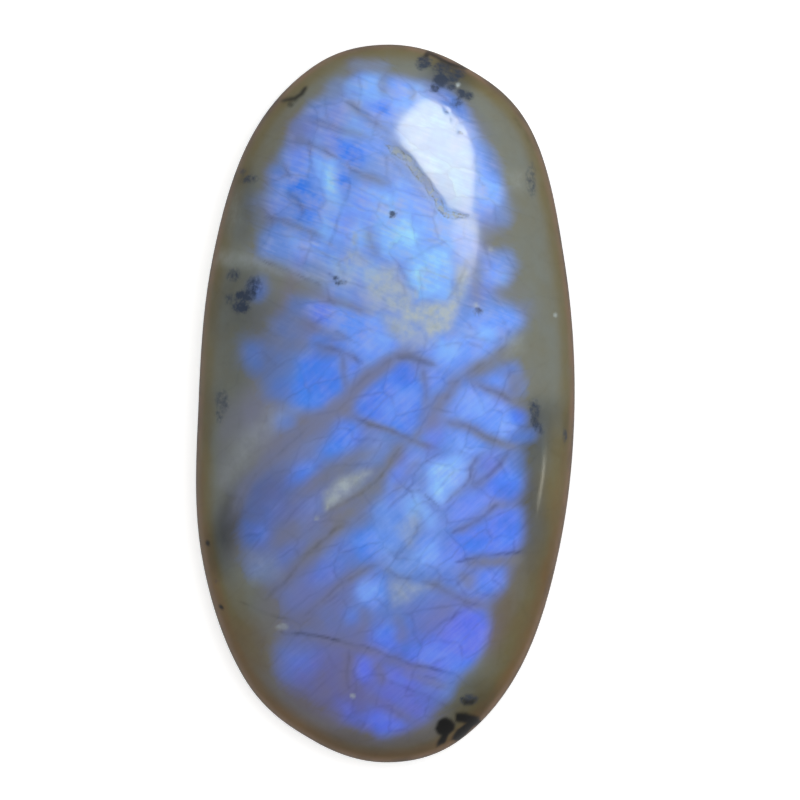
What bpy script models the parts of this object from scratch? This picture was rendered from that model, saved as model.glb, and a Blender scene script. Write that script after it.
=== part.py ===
"""Rainbow moonstone, ground and polished as an oval cabochon.

The stone is one solid: a flat ground back with a small bevel, a low upright girdle, and a domed
crown. Metres, +Z up. It lies on its back with its long axis along Y, and the origin is on the
surface under it, below the middle of its box.
"""

import math

import bmesh
import bpy

# Driving dimensions, in metres
LENGTH = 0.0360
WIDTH = 0.0190
HEIGHT = 0.0066
GIRDLE_HEIGHT = 0.0013
BACK_BEVEL = 0.0004

# The hand-cut outline against a plain ellipse: its reach as a share of the ellipse's, at even
# stations round the stone, anticlockwise from +X as seen from above
OUTLINE_FULLNESS = (
    0.997, 1.023, 1.080, 1.021,
    0.998, 1.015, 1.033, 1.008,
    0.999, 1.067, 1.073, 1.012,
    0.995, 1.010, 1.019, 0.999,
)

# The crown's cross-section is a superellipse: 2 is a plain ellipse, and more is fuller
CROWN_SPREAD = 2.4
CROWN_RISE = 2.0

# Facets
STEPS_ROUND = 96
CROWN_RINGS = 20
BACK_RINGS = 3
BEVEL_SEGMENTS = 2
BEVEL_ANGLE = math.radians(40)
SMOOTH_ANGLE = math.radians(30)
MERGE_DISTANCE = 0.00001

STONE_COLOUR = (0.20, 0.30, 0.72, 1.0)
STONE_ROUGHNESS = 0.12
STONE_IOR = 1.56


def clear_scene():
    for old in list(bpy.data.objects):
        bpy.data.objects.remove(old, do_unlink=True)


def stone_material():
    """Polished feldspar, in the blue of its sheen."""
    material = bpy.data.materials.new("polished_moonstone")
    material.use_nodes = True
    surface = material.node_tree.nodes["Principled BSDF"]
    surface.inputs["Base Color"].default_value = STONE_COLOUR
    surface.inputs["Roughness"].default_value = STONE_ROUGHNESS
    surface.inputs["Metallic"].default_value = 0.0
    surface.inputs["IOR"].default_value = STONE_IOR
    return material


def side_profile():
    """Half the cross-section of a round blank, from the top of the crown down to the back's middle."""
    radius = WIDTH / 2
    points = []
    for ring in range(CROWN_RINGS + 1):
        swing = math.radians(90) * ring / CROWN_RINGS
        reach = math.sin(swing) ** (2 / CROWN_SPREAD)
        rise = max(math.cos(swing), 0.0) ** (2 / CROWN_RISE)
        points.append((radius * reach, GIRDLE_HEIGHT + (HEIGHT - GIRDLE_HEIGHT) * rise))
    for ring in range(BACK_RINGS, -1, -1):
        points.append((radius * ring / BACK_RINGS, 0.0))
    return points


def turned_blank():
    """The round blank: the profile turned about Z by a Screw modifier, taken as a mesh."""
    bm = bmesh.new()
    corners = [bm.verts.new((x, 0.0, z)) for x, z in side_profile()]
    for upper, lower in zip(corners, corners[1:]):
        bm.edges.new((upper, lower))
    mesh = bpy.data.meshes.new("blank_profile")
    bm.to_mesh(mesh)
    bm.free()

    profile = bpy.data.objects.new("blank_profile", mesh)
    bpy.context.scene.collection.objects.link(profile)
    turn = profile.modifiers.new("turn", "SCREW")
    turn.axis = "Z"
    turn.angle = math.radians(360)
    turn.steps = STEPS_ROUND
    turn.render_steps = STEPS_ROUND
    turn.use_merge_vertices = True
    turn.merge_threshold = MERGE_DISTANCE

    turned = profile.evaluated_get(bpy.context.evaluated_depsgraph_get())
    blank = bpy.data.meshes.new_from_object(turned)
    bpy.data.objects.remove(profile, do_unlink=True)
    return blank


def outline_fullness(turn):
    """The outline's fullness at a share of a full turn, on a smooth closed curve through the stations."""
    count = len(OUTLINE_FULLNESS)
    place = turn % 1.0 * count
    station = int(place)
    step = place - station
    before, here, after, beyond = (OUTLINE_FULLNESS[(station + k) % count] for k in (-1, 0, 1, 2))
    slope_here = (after - before) / 2
    slope_after = (beyond - here) / 2
    rest = 1 - step
    return (
        here * rest * rest * (1 + 2 * step)
        + after * step * step * (1 + 2 * rest)
        + slope_here * step * rest * rest
        - slope_after * step * step * rest
    )


def cut_to_outline(blank):
    """Moves the round blank's vertices out to the oval outline."""
    radius = WIDTH / 2
    for vertex in blank.vertices:
        reach = math.hypot(vertex.co.x, vertex.co.y) / radius
        angle = math.atan2(vertex.co.y, vertex.co.x)
        fullness = outline_fullness(angle / math.tau)
        vertex.co.x = WIDTH / 2 * math.cos(angle) * fullness * reach
        vertex.co.y = LENGTH / 2 * math.sin(angle) * fullness * reach


def trim_to_size(blank):
    """Brings the outline to the exact width and length, with its box centred on the origin."""
    for axis, size in ((0, WIDTH), (1, LENGTH)):
        low = min(vertex.co[axis] for vertex in blank.vertices)
        high = max(vertex.co[axis] for vertex in blank.vertices)
        for vertex in blank.vertices:
            vertex.co[axis] = ((vertex.co[axis] - low) / (high - low) - 0.5) * size


def cabochon(collection):
    """The finished stone, with its back edge bevelled."""
    mesh = turned_blank()
    cut_to_outline(mesh)
    trim_to_size(mesh)
    mesh.name = "moonstone"
    mesh.materials.append(stone_material())
    mesh.shade_smooth()
    mesh.set_sharp_from_angle(angle=SMOOTH_ANGLE)

    stone = bpy.data.objects.new("moonstone", mesh)
    collection.objects.link(stone)
    bevel = stone.modifiers.new("back_bevel", "BEVEL")
    bevel.width = BACK_BEVEL
    bevel.segments = BEVEL_SEGMENTS
    bevel.limit_method = "ANGLE"
    bevel.angle_limit = BEVEL_ANGLE
    return stone


clear_scene()
moonstone_parts = bpy.data.collections.new("rainbow_moonstone")
bpy.context.scene.collection.children.link(moonstone_parts)
cabochon(moonstone_parts)
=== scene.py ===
"""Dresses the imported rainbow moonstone: an oval cabochon lying on its back, seen from above.

Places on the stone are millimetres from its middle as seen from above: x to the right and y
towards the end that is uppermost in the photograph. Lengths that go to Blender are metres.
"""

import math
from functools import reduce

import bmesh
import bpy
import numpy as np
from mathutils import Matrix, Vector, kdtree, noise
from mathutils.bvhtree import BVHTree


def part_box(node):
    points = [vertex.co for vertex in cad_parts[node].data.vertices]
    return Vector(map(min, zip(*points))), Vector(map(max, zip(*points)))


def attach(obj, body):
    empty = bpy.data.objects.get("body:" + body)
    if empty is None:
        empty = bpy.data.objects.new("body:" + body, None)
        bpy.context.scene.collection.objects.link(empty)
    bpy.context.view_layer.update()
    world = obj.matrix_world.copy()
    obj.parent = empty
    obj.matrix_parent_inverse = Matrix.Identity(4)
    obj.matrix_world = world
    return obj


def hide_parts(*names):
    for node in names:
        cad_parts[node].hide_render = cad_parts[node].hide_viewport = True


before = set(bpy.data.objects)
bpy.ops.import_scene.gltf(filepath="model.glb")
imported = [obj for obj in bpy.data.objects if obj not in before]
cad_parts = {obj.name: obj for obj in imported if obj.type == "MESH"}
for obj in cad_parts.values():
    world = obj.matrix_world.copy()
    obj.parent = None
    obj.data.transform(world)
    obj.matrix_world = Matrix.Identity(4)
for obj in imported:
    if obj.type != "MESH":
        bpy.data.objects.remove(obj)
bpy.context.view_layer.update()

# The view. The photograph looks straight down on the crown from far off. Its frame is 40 mm
# across at the girdle, and the stone's middle is a little left of and below the frame's middle.
MILLIMETRE = 0.001
GIRDLE_HEIGHT = 1.3 * MILLIMETRE
FRAME_ACROSS = 40.12 * MILLIMETRE
FRAME_MIDDLE = (0.735 * MILLIMETRE, 0.175 * MILLIMETRE)
LENS = 400.0
SENSOR = 36.0
NEAREST_SEEN, FARTHEST_SEEN = 0.01, 10.0

view_camera = bpy.data.cameras.new("view_from_above")
view_camera.lens = LENS
view_camera.sensor_width = SENSOR
view_camera.clip_start = NEAREST_SEEN
view_camera.clip_end = FARTHEST_SEEN
viewpoint = bpy.data.objects.new("view_from_above", view_camera)
viewpoint.location = (*FRAME_MIDDLE, GIRDLE_HEIGHT + FRAME_ACROSS * LENS / SENSOR)
bpy.context.scene.collection.objects.link(viewpoint)
bpy.context.scene.camera = viewpoint
bpy.context.scene.view_settings.view_transform = "Standard"


# The stone's form. One piece of feldspar, ground by hand on a wheel to an oval cabochon: a
# domed crown over a low upright girdle, with a flat back and a small bevel round it. The
# outline is an ellipse that the cutter left fuller at four shoulders.
stone_low, stone_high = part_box("moonstone")
CABOCHON_SIZES = {
    "Length": stone_high[1] - stone_low[1],
    "Width": stone_high[0] - stone_low[0],
    "Height": stone_high[2] - stone_low[2],
    "Girdle height": GIRDLE_HEIGHT,
    "Back bevel": 0.4 * MILLIMETRE,
    "Crown spread": 2.4,
    "Crown rise": 2.0,
    "Points across": 201,
    "Points along": 381,
}
# The outline's reach as a share of the ellipse's, at even stations anticlockwise from the right
OUTLINE_FULLNESS = (
    0.997, 1.023, 1.080, 1.021,
    0.998, 1.015, 1.033, 1.008,
    0.999, 1.067, 1.073, 1.012,
    0.995, 1.010, 1.019, 0.999,
)
# The curve that holds it runs from 0 to 1, so it keeps the fullness as a share of this span
FULLNESS_LOW = 0.95
FULLNESS_SPAN = 0.20
CURVE_POINTS = 128
# Rings below the crown: how far down the girdle wall, how far round the bevel, and how far in
# across the back, each from 0 to 1
LOWER_RINGS = (
    (0.5, 0.0, 0.0), (1.0, 0.0, 0.0),
    (1.0, 0.35, 0.0), (1.0, 0.7, 0.0), (1.0, 1.0, 0.0),
    (1.0, 1.0, 0.03), (1.0, 1.0, 0.15), (1.0, 1.0, 0.3), (1.0, 1.0, 0.45),
    (1.0, 1.0, 0.6), (1.0, 1.0, 0.75), (1.0, 1.0, 0.88), (1.0, 1.0, 1.0),
)
WELD = 0.001 * MILLIMETRE


def add_node(tree, kind, inputs=None, **settings):
    """Adds a node with its settings. An input takes a value, a socket, or a node's first output."""
    node = tree.nodes.new(kind)
    for name, value in settings.items():
        setattr(node, name, value)
    for key, value in (inputs or {}).items():
        if isinstance(value, bpy.types.Node):
            value = next(socket for socket in value.outputs if socket.enabled)
        if isinstance(value, bpy.types.NodeSocket):
            tree.links.new(value, node.inputs[key])
        else:
            node.inputs[key].default_value = value
    return node


def outline_fullness(turn):
    """The fullness at a share of a full turn, on a smooth closed curve through the stations."""
    count = len(OUTLINE_FULLNESS)
    place = turn % 1.0 * count
    station = int(place)
    step = place - station
    before, here, after, beyond = (OUTLINE_FULLNESS[(station + k) % count] for k in (-1, 0, 1, 2))
    rest = 1 - step
    return (
        here * rest * rest * (1 + 2 * step)
        + after * step * step * (1 + 2 * rest)
        + (after - before) / 2 * step * rest * rest
        - (beyond - here) / 2 * step * step * rest
    )


def cabochon_tree(material):
    """Geometry Nodes for the cabochon: a square grid bent to the oval crown, then ringed below."""
    tree = bpy.data.node_groups.new("cabochon_form", "GeometryNodeTree")
    tree.interface.new_socket("Geometry", in_out="OUTPUT", socket_type="NodeSocketGeometry")
    for name, value in CABOCHON_SIZES.items():
        kind = "NodeSocketInt" if isinstance(value, int) else "NodeSocketFloat"
        tree.interface.new_socket(name, in_out="INPUT", socket_type=kind)
    size = add_node(tree, "NodeGroupInput").outputs

    grid = add_node(tree, "GeometryNodeMeshGrid", {
        "Size X": 2.0, "Size Y": 2.0,
        "Vertices X": size["Points across"], "Vertices Y": size["Points along"],
    })
    corner = add_node(tree, "ShaderNodeSeparateXYZ", {0: add_node(tree, "GeometryNodeInputPosition")})
    disc = []
    for own, other in (("X", "Y"), ("Y", "X")):
        square = add_node(tree, "ShaderNodeMath", operation="MULTIPLY",
                          inputs={0: corner.outputs[other], 1: corner.outputs[other]})
        pull = add_node(tree, "ShaderNodeMath", operation="MULTIPLY_ADD",
                        inputs={0: square, 1: -0.5, 2: 1.0})
        root = add_node(tree, "ShaderNodeMath", {0: pull}, operation="SQRT")
        disc.append(add_node(tree, "ShaderNodeMath", operation="MULTIPLY",
                             inputs={0: corner.outputs[own], 1: root}))
    round_place = add_node(tree, "ShaderNodeCombineXYZ", {"X": disc[0], "Y": disc[1]})
    radius = add_node(tree, "ShaderNodeVectorMath", {0: round_place}, operation="LENGTH")

    angle = add_node(tree, "ShaderNodeMath", {0: disc[1], 1: disc[0]}, operation="ARCTAN2")
    turn = add_node(tree, "ShaderNodeMath", {0: angle, 1: math.tau}, operation="DIVIDE")
    share = add_node(tree, "ShaderNodeMath", {0: turn, 1: 1.0, 2: 0.0}, operation="WRAP")
    outline = add_node(tree, "ShaderNodeFloatCurve", {"Value": share})
    curve = outline.mapping.curves[0]
    for number in range(CURVE_POINTS + 1):
        way_round = number / CURVE_POINTS
        fullness = (outline_fullness(way_round) - FULLNESS_LOW) / FULLNESS_SPAN
        if number in (0, CURVE_POINTS):
            curve.points[0 if number == 0 else -1].location = (way_round, fullness)
        else:
            curve.points.new(way_round, fullness)
    outline.mapping.update()
    full = add_node(tree, "ShaderNodeMath", operation="MULTIPLY_ADD",
                    inputs={0: outline, 1: FULLNESS_SPAN, 2: FULLNESS_LOW})

    # The grid's rings run evenly over the top and close up towards the steep edge
    swing = add_node(tree, "ShaderNodeMath", {0: radius, 1: math.radians(90)}, operation="MULTIPLY")
    sine = add_node(tree, "ShaderNodeMath", {0: swing}, operation="SINE")
    spread_power = add_node(tree, "ShaderNodeMath", operation="DIVIDE",
                            inputs={0: 2.0, 1: size["Crown spread"]})
    steep = add_node(tree, "ShaderNodeMath", {0: sine, 1: spread_power}, operation="POWER")
    edge_share = add_node(tree, "ShaderNodeMath", {0: radius, 1: 2.0}, operation="POWER")
    reach = add_node(tree, "ShaderNodeMix", {0: edge_share, 2: radius, 3: steep})
    dip = add_node(tree, "ShaderNodeMath", {0: reach, 1: size["Crown spread"]}, operation="POWER")
    left_over = add_node(tree, "ShaderNodeMath", {0: 1.0, 1: dip}, operation="SUBTRACT")
    level = add_node(tree, "ShaderNodeMath", {0: left_over, 1: 0.0}, operation="MAXIMUM")
    rise_power = add_node(tree, "ShaderNodeMath", {0: 1.0, 1: size["Crown rise"]}, operation="DIVIDE")
    rise = add_node(tree, "ShaderNodeMath", {0: level, 1: rise_power}, operation="POWER")
    full_reach = add_node(tree, "ShaderNodeMath", {0: full, 1: reach}, operation="MULTIPLY")
    stretch = add_node(tree, "ShaderNodeMath", {0: full_reach, 1: radius}, operation="DIVIDE")
    half_box = []
    for name in ("Width", "Length"):
        half_box.append(add_node(tree, "ShaderNodeMath", operation="MULTIPLY",
                                 inputs={0: size[name], 1: 0.5}))
    place = []
    for own, half in zip(disc, half_box):
        reach_out = add_node(tree, "ShaderNodeMath", {0: own, 1: stretch}, operation="MULTIPLY")
        place.append(add_node(tree, "ShaderNodeMath", {0: reach_out, 1: half}, operation="MULTIPLY"))
    domed_place = add_node(tree, "ShaderNodeCombineXYZ", {"X": place[0], "Y": place[1], "Z": rise})
    domed = add_node(tree, "GeometryNodeSetPosition", {"Geometry": grid, "Position": domed_place})

    # Trimmed to the exact width, length and height
    box = add_node(tree, "GeometryNodeBoundBox", {"Geometry": domed})
    minus_half = []
    for half in half_box:
        minus_half.append(add_node(tree, "ShaderNodeMath", {0: half, 1: -1.0}, operation="MULTIPLY"))
    low = add_node(tree, "ShaderNodeCombineXYZ",
                   {"X": minus_half[0], "Y": minus_half[1], "Z": size["Girdle height"]})
    high = add_node(tree, "ShaderNodeCombineXYZ",
                    {"X": half_box[0], "Y": half_box[1], "Z": size["Height"]})
    trim = add_node(tree, "ShaderNodeMapRange", data_type="FLOAT_VECTOR", clamp=False)
    for key, source in (
        ("Vector", add_node(tree, "GeometryNodeInputPosition").outputs[0]),
        ("From_Min_FLOAT3", box.outputs["Min"]), ("From_Max_FLOAT3", box.outputs["Max"]),
        ("To_Min_FLOAT3", low.outputs[0]), ("To_Max_FLOAT3", high.outputs[0]),
    ):
        target = next(socket for socket in trim.inputs if socket.identifier == key)
        tree.links.new(source, target)
    crown = add_node(tree, "GeometryNodeSetPosition",
                     {"Geometry": domed, "Position": trim.outputs["Vector"]})
    crown = add_node(tree, "GeometryNodeStoreNamedAttribute", data_type="FLOAT_VECTOR",
                     inputs={"Geometry": crown, "Name": "girdle_place",
                             "Value": add_node(tree, "GeometryNodeInputPosition")})

    # The wall, the bevel and the back, each ring drawn down from the one above
    girdle_place = add_node(tree, "GeometryNodeInputNamedAttribute", {"Name": "girdle_place"},
                            data_type="FLOAT_VECTOR")
    faces_beside = add_node(tree, "GeometryNodeInputMeshEdgeNeighbors")
    ring = add_node(tree, "ShaderNodeMath", {0: faces_beside, 1: 1.0, 2: 0.1}, operation="COMPARE")
    wall = add_node(tree, "ShaderNodeMath", operation="SUBTRACT",
                    inputs={0: size["Girdle height"], 1: size["Back bevel"]})
    body = crown
    for down, bevel, inward in LOWER_RINGS:
        drawn = add_node(tree, "GeometryNodeExtrudeMesh", mode="EDGES",
                         inputs={"Mesh": body, "Selection": ring, "Offset Scale": 0.0})
        ring = drawn.outputs["Top"]
        foot = add_node(tree, "ShaderNodeMath", operation="MULTIPLY",
                        inputs={0: size["Back bevel"], 1: 1 - math.sin(math.radians(90) * bevel)})
        height = add_node(tree, "ShaderNodeMath", operation="MULTIPLY_ADD",
                          inputs={0: wall, 1: 1 - down, 2: foot})
        inset = add_node(tree, "ShaderNodeMath", operation="MULTIPLY",
                         inputs={0: size["Back bevel"], 1: 1 - math.cos(math.radians(90) * bevel)})
        shrink = []
        for half in half_box:
            lost = add_node(tree, "ShaderNodeMath", {0: inset, 1: half}, operation="DIVIDE")
            kept = add_node(tree, "ShaderNodeMath", {0: 1.0, 1: lost}, operation="SUBTRACT")
            shrink.append(add_node(tree, "ShaderNodeMath", operation="MULTIPLY",
                                   inputs={0: kept, 1: 1 - inward}))
        shares = add_node(tree, "ShaderNodeCombineXYZ", {"X": shrink[0], "Y": shrink[1]})
        flat = add_node(tree, "ShaderNodeVectorMath", operation="MULTIPLY",
                        inputs={0: girdle_place.outputs[0], 1: shares})
        level = add_node(tree, "ShaderNodeCombineXYZ", {"Z": height})
        ring_place = add_node(tree, "ShaderNodeVectorMath", {0: flat, 1: level}, operation="ADD")
        body = add_node(tree, "GeometryNodeSetPosition",
                        {"Geometry": drawn.outputs["Mesh"], "Selection": ring, "Position": ring_place})

    welded = add_node(tree, "GeometryNodeMergeByDistance", {"Geometry": body, "Distance": WELD})
    clean = add_node(tree, "GeometryNodeRemoveAttribute", {"Geometry": welded, "Name": "girdle_place"})
    smooth = add_node(tree, "GeometryNodeSetShadeSmooth", {"Geometry": clean})
    real = add_node(tree, "GeometryNodeRealizeInstances", {"Geometry": smooth})
    finished = add_node(tree, "GeometryNodeSetMaterial", {"Geometry": real, "Material": material})
    add_node(tree, "NodeGroupOutput", {0: finished})
    return tree


polished_moonstone = bpy.data.materials.new("polished_rainbow_moonstone")
polished_moonstone.use_nodes = True
stone = bpy.data.objects.new("rainbow_moonstone", bpy.data.meshes.new("rainbow_moonstone"))
bpy.context.scene.collection.objects.link(stone)
form = stone.modifiers.new("cabochon_form", "NODES")
form.node_group = cabochon_tree(polished_moonstone)
for item in form.node_group.interface.items_tree:
    if item.in_out == "INPUT":
        form[item.identifier] = CABOCHON_SIZES[item.name]
formed = bpy.data.meshes.new_from_object(stone.evaluated_get(bpy.context.evaluated_depsgraph_get()))
stone.modifiers.remove(form)
stone.data = formed

# Its faces are turned outwards, and the form before any chips is kept for the light's reflections
faced = bmesh.new()
faced.from_mesh(formed)
bmesh.ops.recalc_face_normals(faced, faces=faced.faces)
faced.to_mesh(formed)
polished_form = BVHTree.FromBMesh(faced)
faced.free()


# Where things are on the stone. Markings are laid out as seen from above and wander a little,
# as flaws in a crystal do. They fade out down the girdle wall.
WANDER = (
    # size of a bend, how far it strays, where in the noise it starts
    (3.0, 0.14, 11.0), (0.9, 0.09, 37.0), (0.35, 0.05, 71.0),
)
WANDER_ALONG = Vector((19.0, 7.0, 0.0))
# Heights between which the markings and the back's finish come in
MARKS_END, MARKS_FULL = 0.5, 1.3
BACK_END, BACK_FULL = 0.35, 0.05
SAME_LEVEL = 0.02
THIN_END = 0.45

mesh_places = np.empty(len(formed.vertices) * 3)
formed.vertices.foreach_get("co", mesh_places)
mesh_places = mesh_places.reshape(-1, 3) / MILLIMETRE
seen_x = mesh_places[:, 0].copy()
seen_y = mesh_places[:, 1].copy()
height = mesh_places[:, 2].copy()
for bend, stray, start in WANDER:
    for number, (x, y, _) in enumerate(mesh_places):
        spot = Vector((x / bend, y / bend, start))
        seen_x[number] += stray * noise.noise(spot)
        seen_y[number] += stray * noise.noise(spot + WANDER_ALONG)

girdle = [place for place in mesh_places if abs(place[2] - GIRDLE_HEIGHT / MILLIMETRE) < SAME_LEVEL]
girdle_line = kdtree.KDTree(len(girdle))
for number, place in enumerate(girdle):
    girdle_line.insert((place[0], place[1], 0.0), number)
girdle_line.balance()
from_edge = np.array([girdle_line.find((x, y, 0.0))[2] for x, y, _ in mesh_places])

edge_ends = np.empty(len(formed.edges) * 2, dtype=np.int32)
formed.edges.foreach_get("vertices", edge_ends)
one_end, other_end = edge_ends.reshape(-1, 2).T
neighbour_count = np.bincount(edge_ends, minlength=len(seen_x))


def softened(values, passes):
    """The values, evened out with their neighbours on the mesh in so many passes."""
    for _ in range(passes):
        beside = np.bincount(one_end, values[other_end], len(values))
        beside += np.bincount(other_end, values[one_end], len(values))
        values = (values + beside / neighbour_count) / 2
    return values


def rising(values, start, full):
    """A share that goes evenly from 0 at the start to 1 at the full value."""
    return np.clip((values - start) / (full - start), 0.0, 1.0)


def ease(share):
    """A soft step from 0 to 1."""
    share = np.clip(share, 0.0, 1.0)
    return share * share * (3 - 2 * share)


def along_line(points):
    """Distance to a line of points, how far along it that is as a share, and on which side."""
    nearest = np.full(len(seen_x), np.inf)
    share = np.zeros(len(seen_x))
    side = np.zeros(len(seen_x))
    lengths = [math.dist(a, b) for a, b in zip(points, points[1:])]
    run = 0.0
    for (ax, ay), (bx, by), length in zip(points, points[1:], lengths):
        step = ((seen_x - ax) * (bx - ax) + (seen_y - ay) * (by - ay)) / length**2
        step = np.clip(step, 0.0, 1.0)
        away = np.hypot(seen_x - ax - step * (bx - ax), seen_y - ay - step * (by - ay))
        left = np.sign((bx - ax) * (seen_y - ay) - (by - ay) * (seen_x - ax))
        closer = away < nearest
        nearest = np.where(closer, away, nearest)
        share = np.where(closer, (run + step * length) / sum(lengths), share)
        side = np.where(closer, left, side)
        run += length
    return nearest, share, side


def line_mark(points, half_width, ends=0.12):
    """A line that is strongest at its middle and thins out towards its ends."""
    away, share, _ = along_line(points)
    taper = ease(np.minimum(share, 1 - share) / ends)
    width = half_width * (THIN_END + (1 - THIN_END) * taper)
    return np.exp(-((away / width) ** 2)) * taper


def patch_mark(points, softness):
    """A patch with straight sides and an edge that is soft over the given width."""
    closed = (*points, points[0])
    away, _, _ = along_line(closed)
    inside = np.zeros(len(seen_x), dtype=bool)
    for (ax, ay), (bx, by) in zip(closed, closed[1:]):
        crosses = (ay > seen_y) != (by > seen_y)
        slope = (bx - ax) / (by - ay) if by != ay else 0.0
        inside ^= crosses & (seen_x < ax + (seen_y - ay) * slope)
    return ease(0.5 + np.where(inside, away, -away) / (2 * softness))


def spot_mark(x, y, across, along, turn=0.0, softness=0.5):
    """An oval spot, with its long side turned anticlockwise from straight up, in degrees."""
    cosine, sine = math.cos(math.radians(turn)), math.sin(math.radians(turn))
    own_x = ((seen_x - x) * cosine + (seen_y - y) * sine) / across
    own_y = ((seen_y - y) * cosine - (seen_x - x) * sine) / along
    return ease((1 + softness - np.hypot(own_x, own_y)) / (2 * softness))


def laid_over(ground, layers):
    """Even values with each layer's values laid over them, as strongly as its mark says."""
    laid = [np.full(len(seen_x), value) for value in ground]
    for layer_values, layer_mark in layers:
        for values, value in zip(laid, layer_values):
            values += (value - values) * layer_mark
    return laid


def strongest(marks):
    """Marks put together: where they overlap, the strongest one counts."""
    return reduce(np.maximum, marks, np.zeros(len(seen_x)))


def store_mark(name, values):
    """Keeps a mark on the stone's mesh, where its material reads it."""
    layer = formed.attributes.new(name, "FLOAT", "POINT")
    layer.data.foreach_set("value", np.clip(values, 0.0, 1.0).astype(np.float32))


on_crown = rising(height, MARKS_END, MARKS_FULL)
on_back = rising(height, BACK_END, BACK_FULL)


# The body. Away from the sheen the feldspar is a cloudy grey: violet at the left, grey-green at
# the right, and olive to brown where it thins towards the girdle, most of all at the lower end.
# Warmth runs from violet-grey at 0, by grey-green, to olive at 1. Darkness and shade is how much
# darker a place is painted: partly the stone's own dark patches, partly painted shade, most of all
# near the edge and at the left.
PLAIN_WARMTH, PLAIN_DARKNESS_AND_SHADE = 0.5, 0.0
ZONE_SOFTNESS = 0.6
BODY_PASSES = 20
# The border's warmth grows from its width to the full distance from the edge, and down the stone
BORDER_WIDTH, BORDER_FULL = 1.6, 0.4
BORDER_WARMTH, BORDER_WARMER = 0.78, 0.20
WARMER_FROM, WARMER_FULL = 2.0, -10.0
BODY_ZONES = (
    # warmth, darkness and shade, strength, x, y, across, along, turn
    (0.50, 0.00, 1.0, 6.5, 10.0, 3.0, 8.0, 0),
    (0.55, 0.05, 1.0, -6.5, 13.0, 2.2, 4.0, -30),
    (0.35, 0.60, 0.9, 3.2, 16.2, 1.9, 1.0, 35),
    (0.30, 0.25, 0.9, 4.4, 14.2, 0.5, 1.6, 35),
    (0.35, 0.55, 0.8, -7.3, 10.0, 0.9, 1.8, 0),
    (0.45, 0.00, 0.9, -7.4, 7.6, 1.6, 0.5, -15),
    (0.42, 0.50, 0.8, -7.4, 4.9, 1.4, 2.0, 0),
    (0.30, 0.42, 0.9, -5.2, 3.9, 1.8, 1.3, -10),
    (0.15, 0.25, 0.9, -6.2, 2.2, 1.3, 1.2, 0),
    (0.45, 0.30, 0.7, -7.6, 1.6, 0.9, 2.6, 0),
    (0.45, 0.35, 0.7, -8.5, -0.8, 0.8, 1.6, 0),
    (0.00, 0.00, 1.0, -5.6, -1.0, 2.2, 1.8, 0),
    (0.25, 0.05, 0.8, -7.6, -2.8, 1.0, 2.2, 0),
    (0.25, 0.85, 0.9, -7.8, -6.2, 0.8, 1.9, -20),
    (0.30, 0.50, 0.8, -8.0, -7.9, 0.8, 0.8, 0),
    (0.05, 0.45, 0.9, -5.8, -4.7, 1.5, 1.4, 0),
    (0.10, 0.35, 0.8, -6.6, -6.6, 1.0, 1.0, 0),
    (0.25, 0.10, 0.9, -5.6, -8.0, 1.7, 1.4, 0),
    (0.50, 0.05, 0.8, -7.0, -9.6, 1.2, 1.6, 0),
    (0.05, 0.10, 1.0, -3.6, -9.8, 2.4, 1.6, 0),
    (0.45, 0.05, 0.9, -5.9, -11.2, 1.0, 0.9, 20),
    (0.85, 0.12, 1.0, -7.2, -12.4, 1.4, 2.6, 25),
    (0.30, 0.30, 0.9, -3.2, -14.4, 2.6, 1.4, 0),
    (0.05, 0.25, 1.0, 3.0, -10.0, 2.6, 1.2, 0),
    (0.90, 0.22, 1.0, 6.2, -11.2, 1.4, 4.0, -20),
    (1.00, 0.66, 1.0, 4.2, -15.2, 2.0, 1.7, -35),
    (0.62, 0.18, 0.9, 6.7, -8.2, 0.9, 2.2, 0),
    (0.85, 0.24, 0.9, 7.9, -6.2, 1.0, 3.8, 0),
    (0.48, 0.55, 0.9, 7.0, -5.0, 0.9, 3.0, 0),
    (0.40, 0.62, 0.9, 7.9, -1.5, 1.6, 1.6, 0),
    (0.75, 0.42, 0.9, 0.0, -17.0, 5.0, 1.1, 0),
    (0.85, 0.05, 0.8, 8.7, -3.5, 0.6, 3.0, 0),
    (0.00, 0.00, 1.0, 2.4, 0.2, 1.8, 2.4, 0),
    (0.00, 0.08, 1.0, 0.0, -12.4, 4.5, 3.6, 0),
    (0.15, 0.00, 1.0, -2.6, 3.6, 2.8, 2.2, 0),
    (0.00, 0.00, 1.0, -2.2, 0.2, 4.4, 1.1, 38),
)
warmth, darkness_and_shade = laid_over((PLAIN_WARMTH, PLAIN_DARKNESS_AND_SHADE), (
    ((zone_warmth, zone_darkness_and_shade), spot_mark(*oval, softness=ZONE_SOFTNESS) * strength)
    for zone_warmth, zone_darkness_and_shade, strength, *oval in BODY_ZONES))
border = ease(rising(from_edge, BORDER_WIDTH, BORDER_FULL))
border_warmth = BORDER_WARMTH + BORDER_WARMER * ease(rising(seen_y, WARMER_FROM, WARMER_FULL))
warmth = np.maximum(warmth, border * border_warmth)
store_mark("warmth", softened(warmth, BODY_PASSES))
# Darkness and shade: partly the stone's own dark patches, partly painted shade
store_mark("darkness_and_shade", softened(darkness_and_shade, BODY_PASSES))


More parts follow.
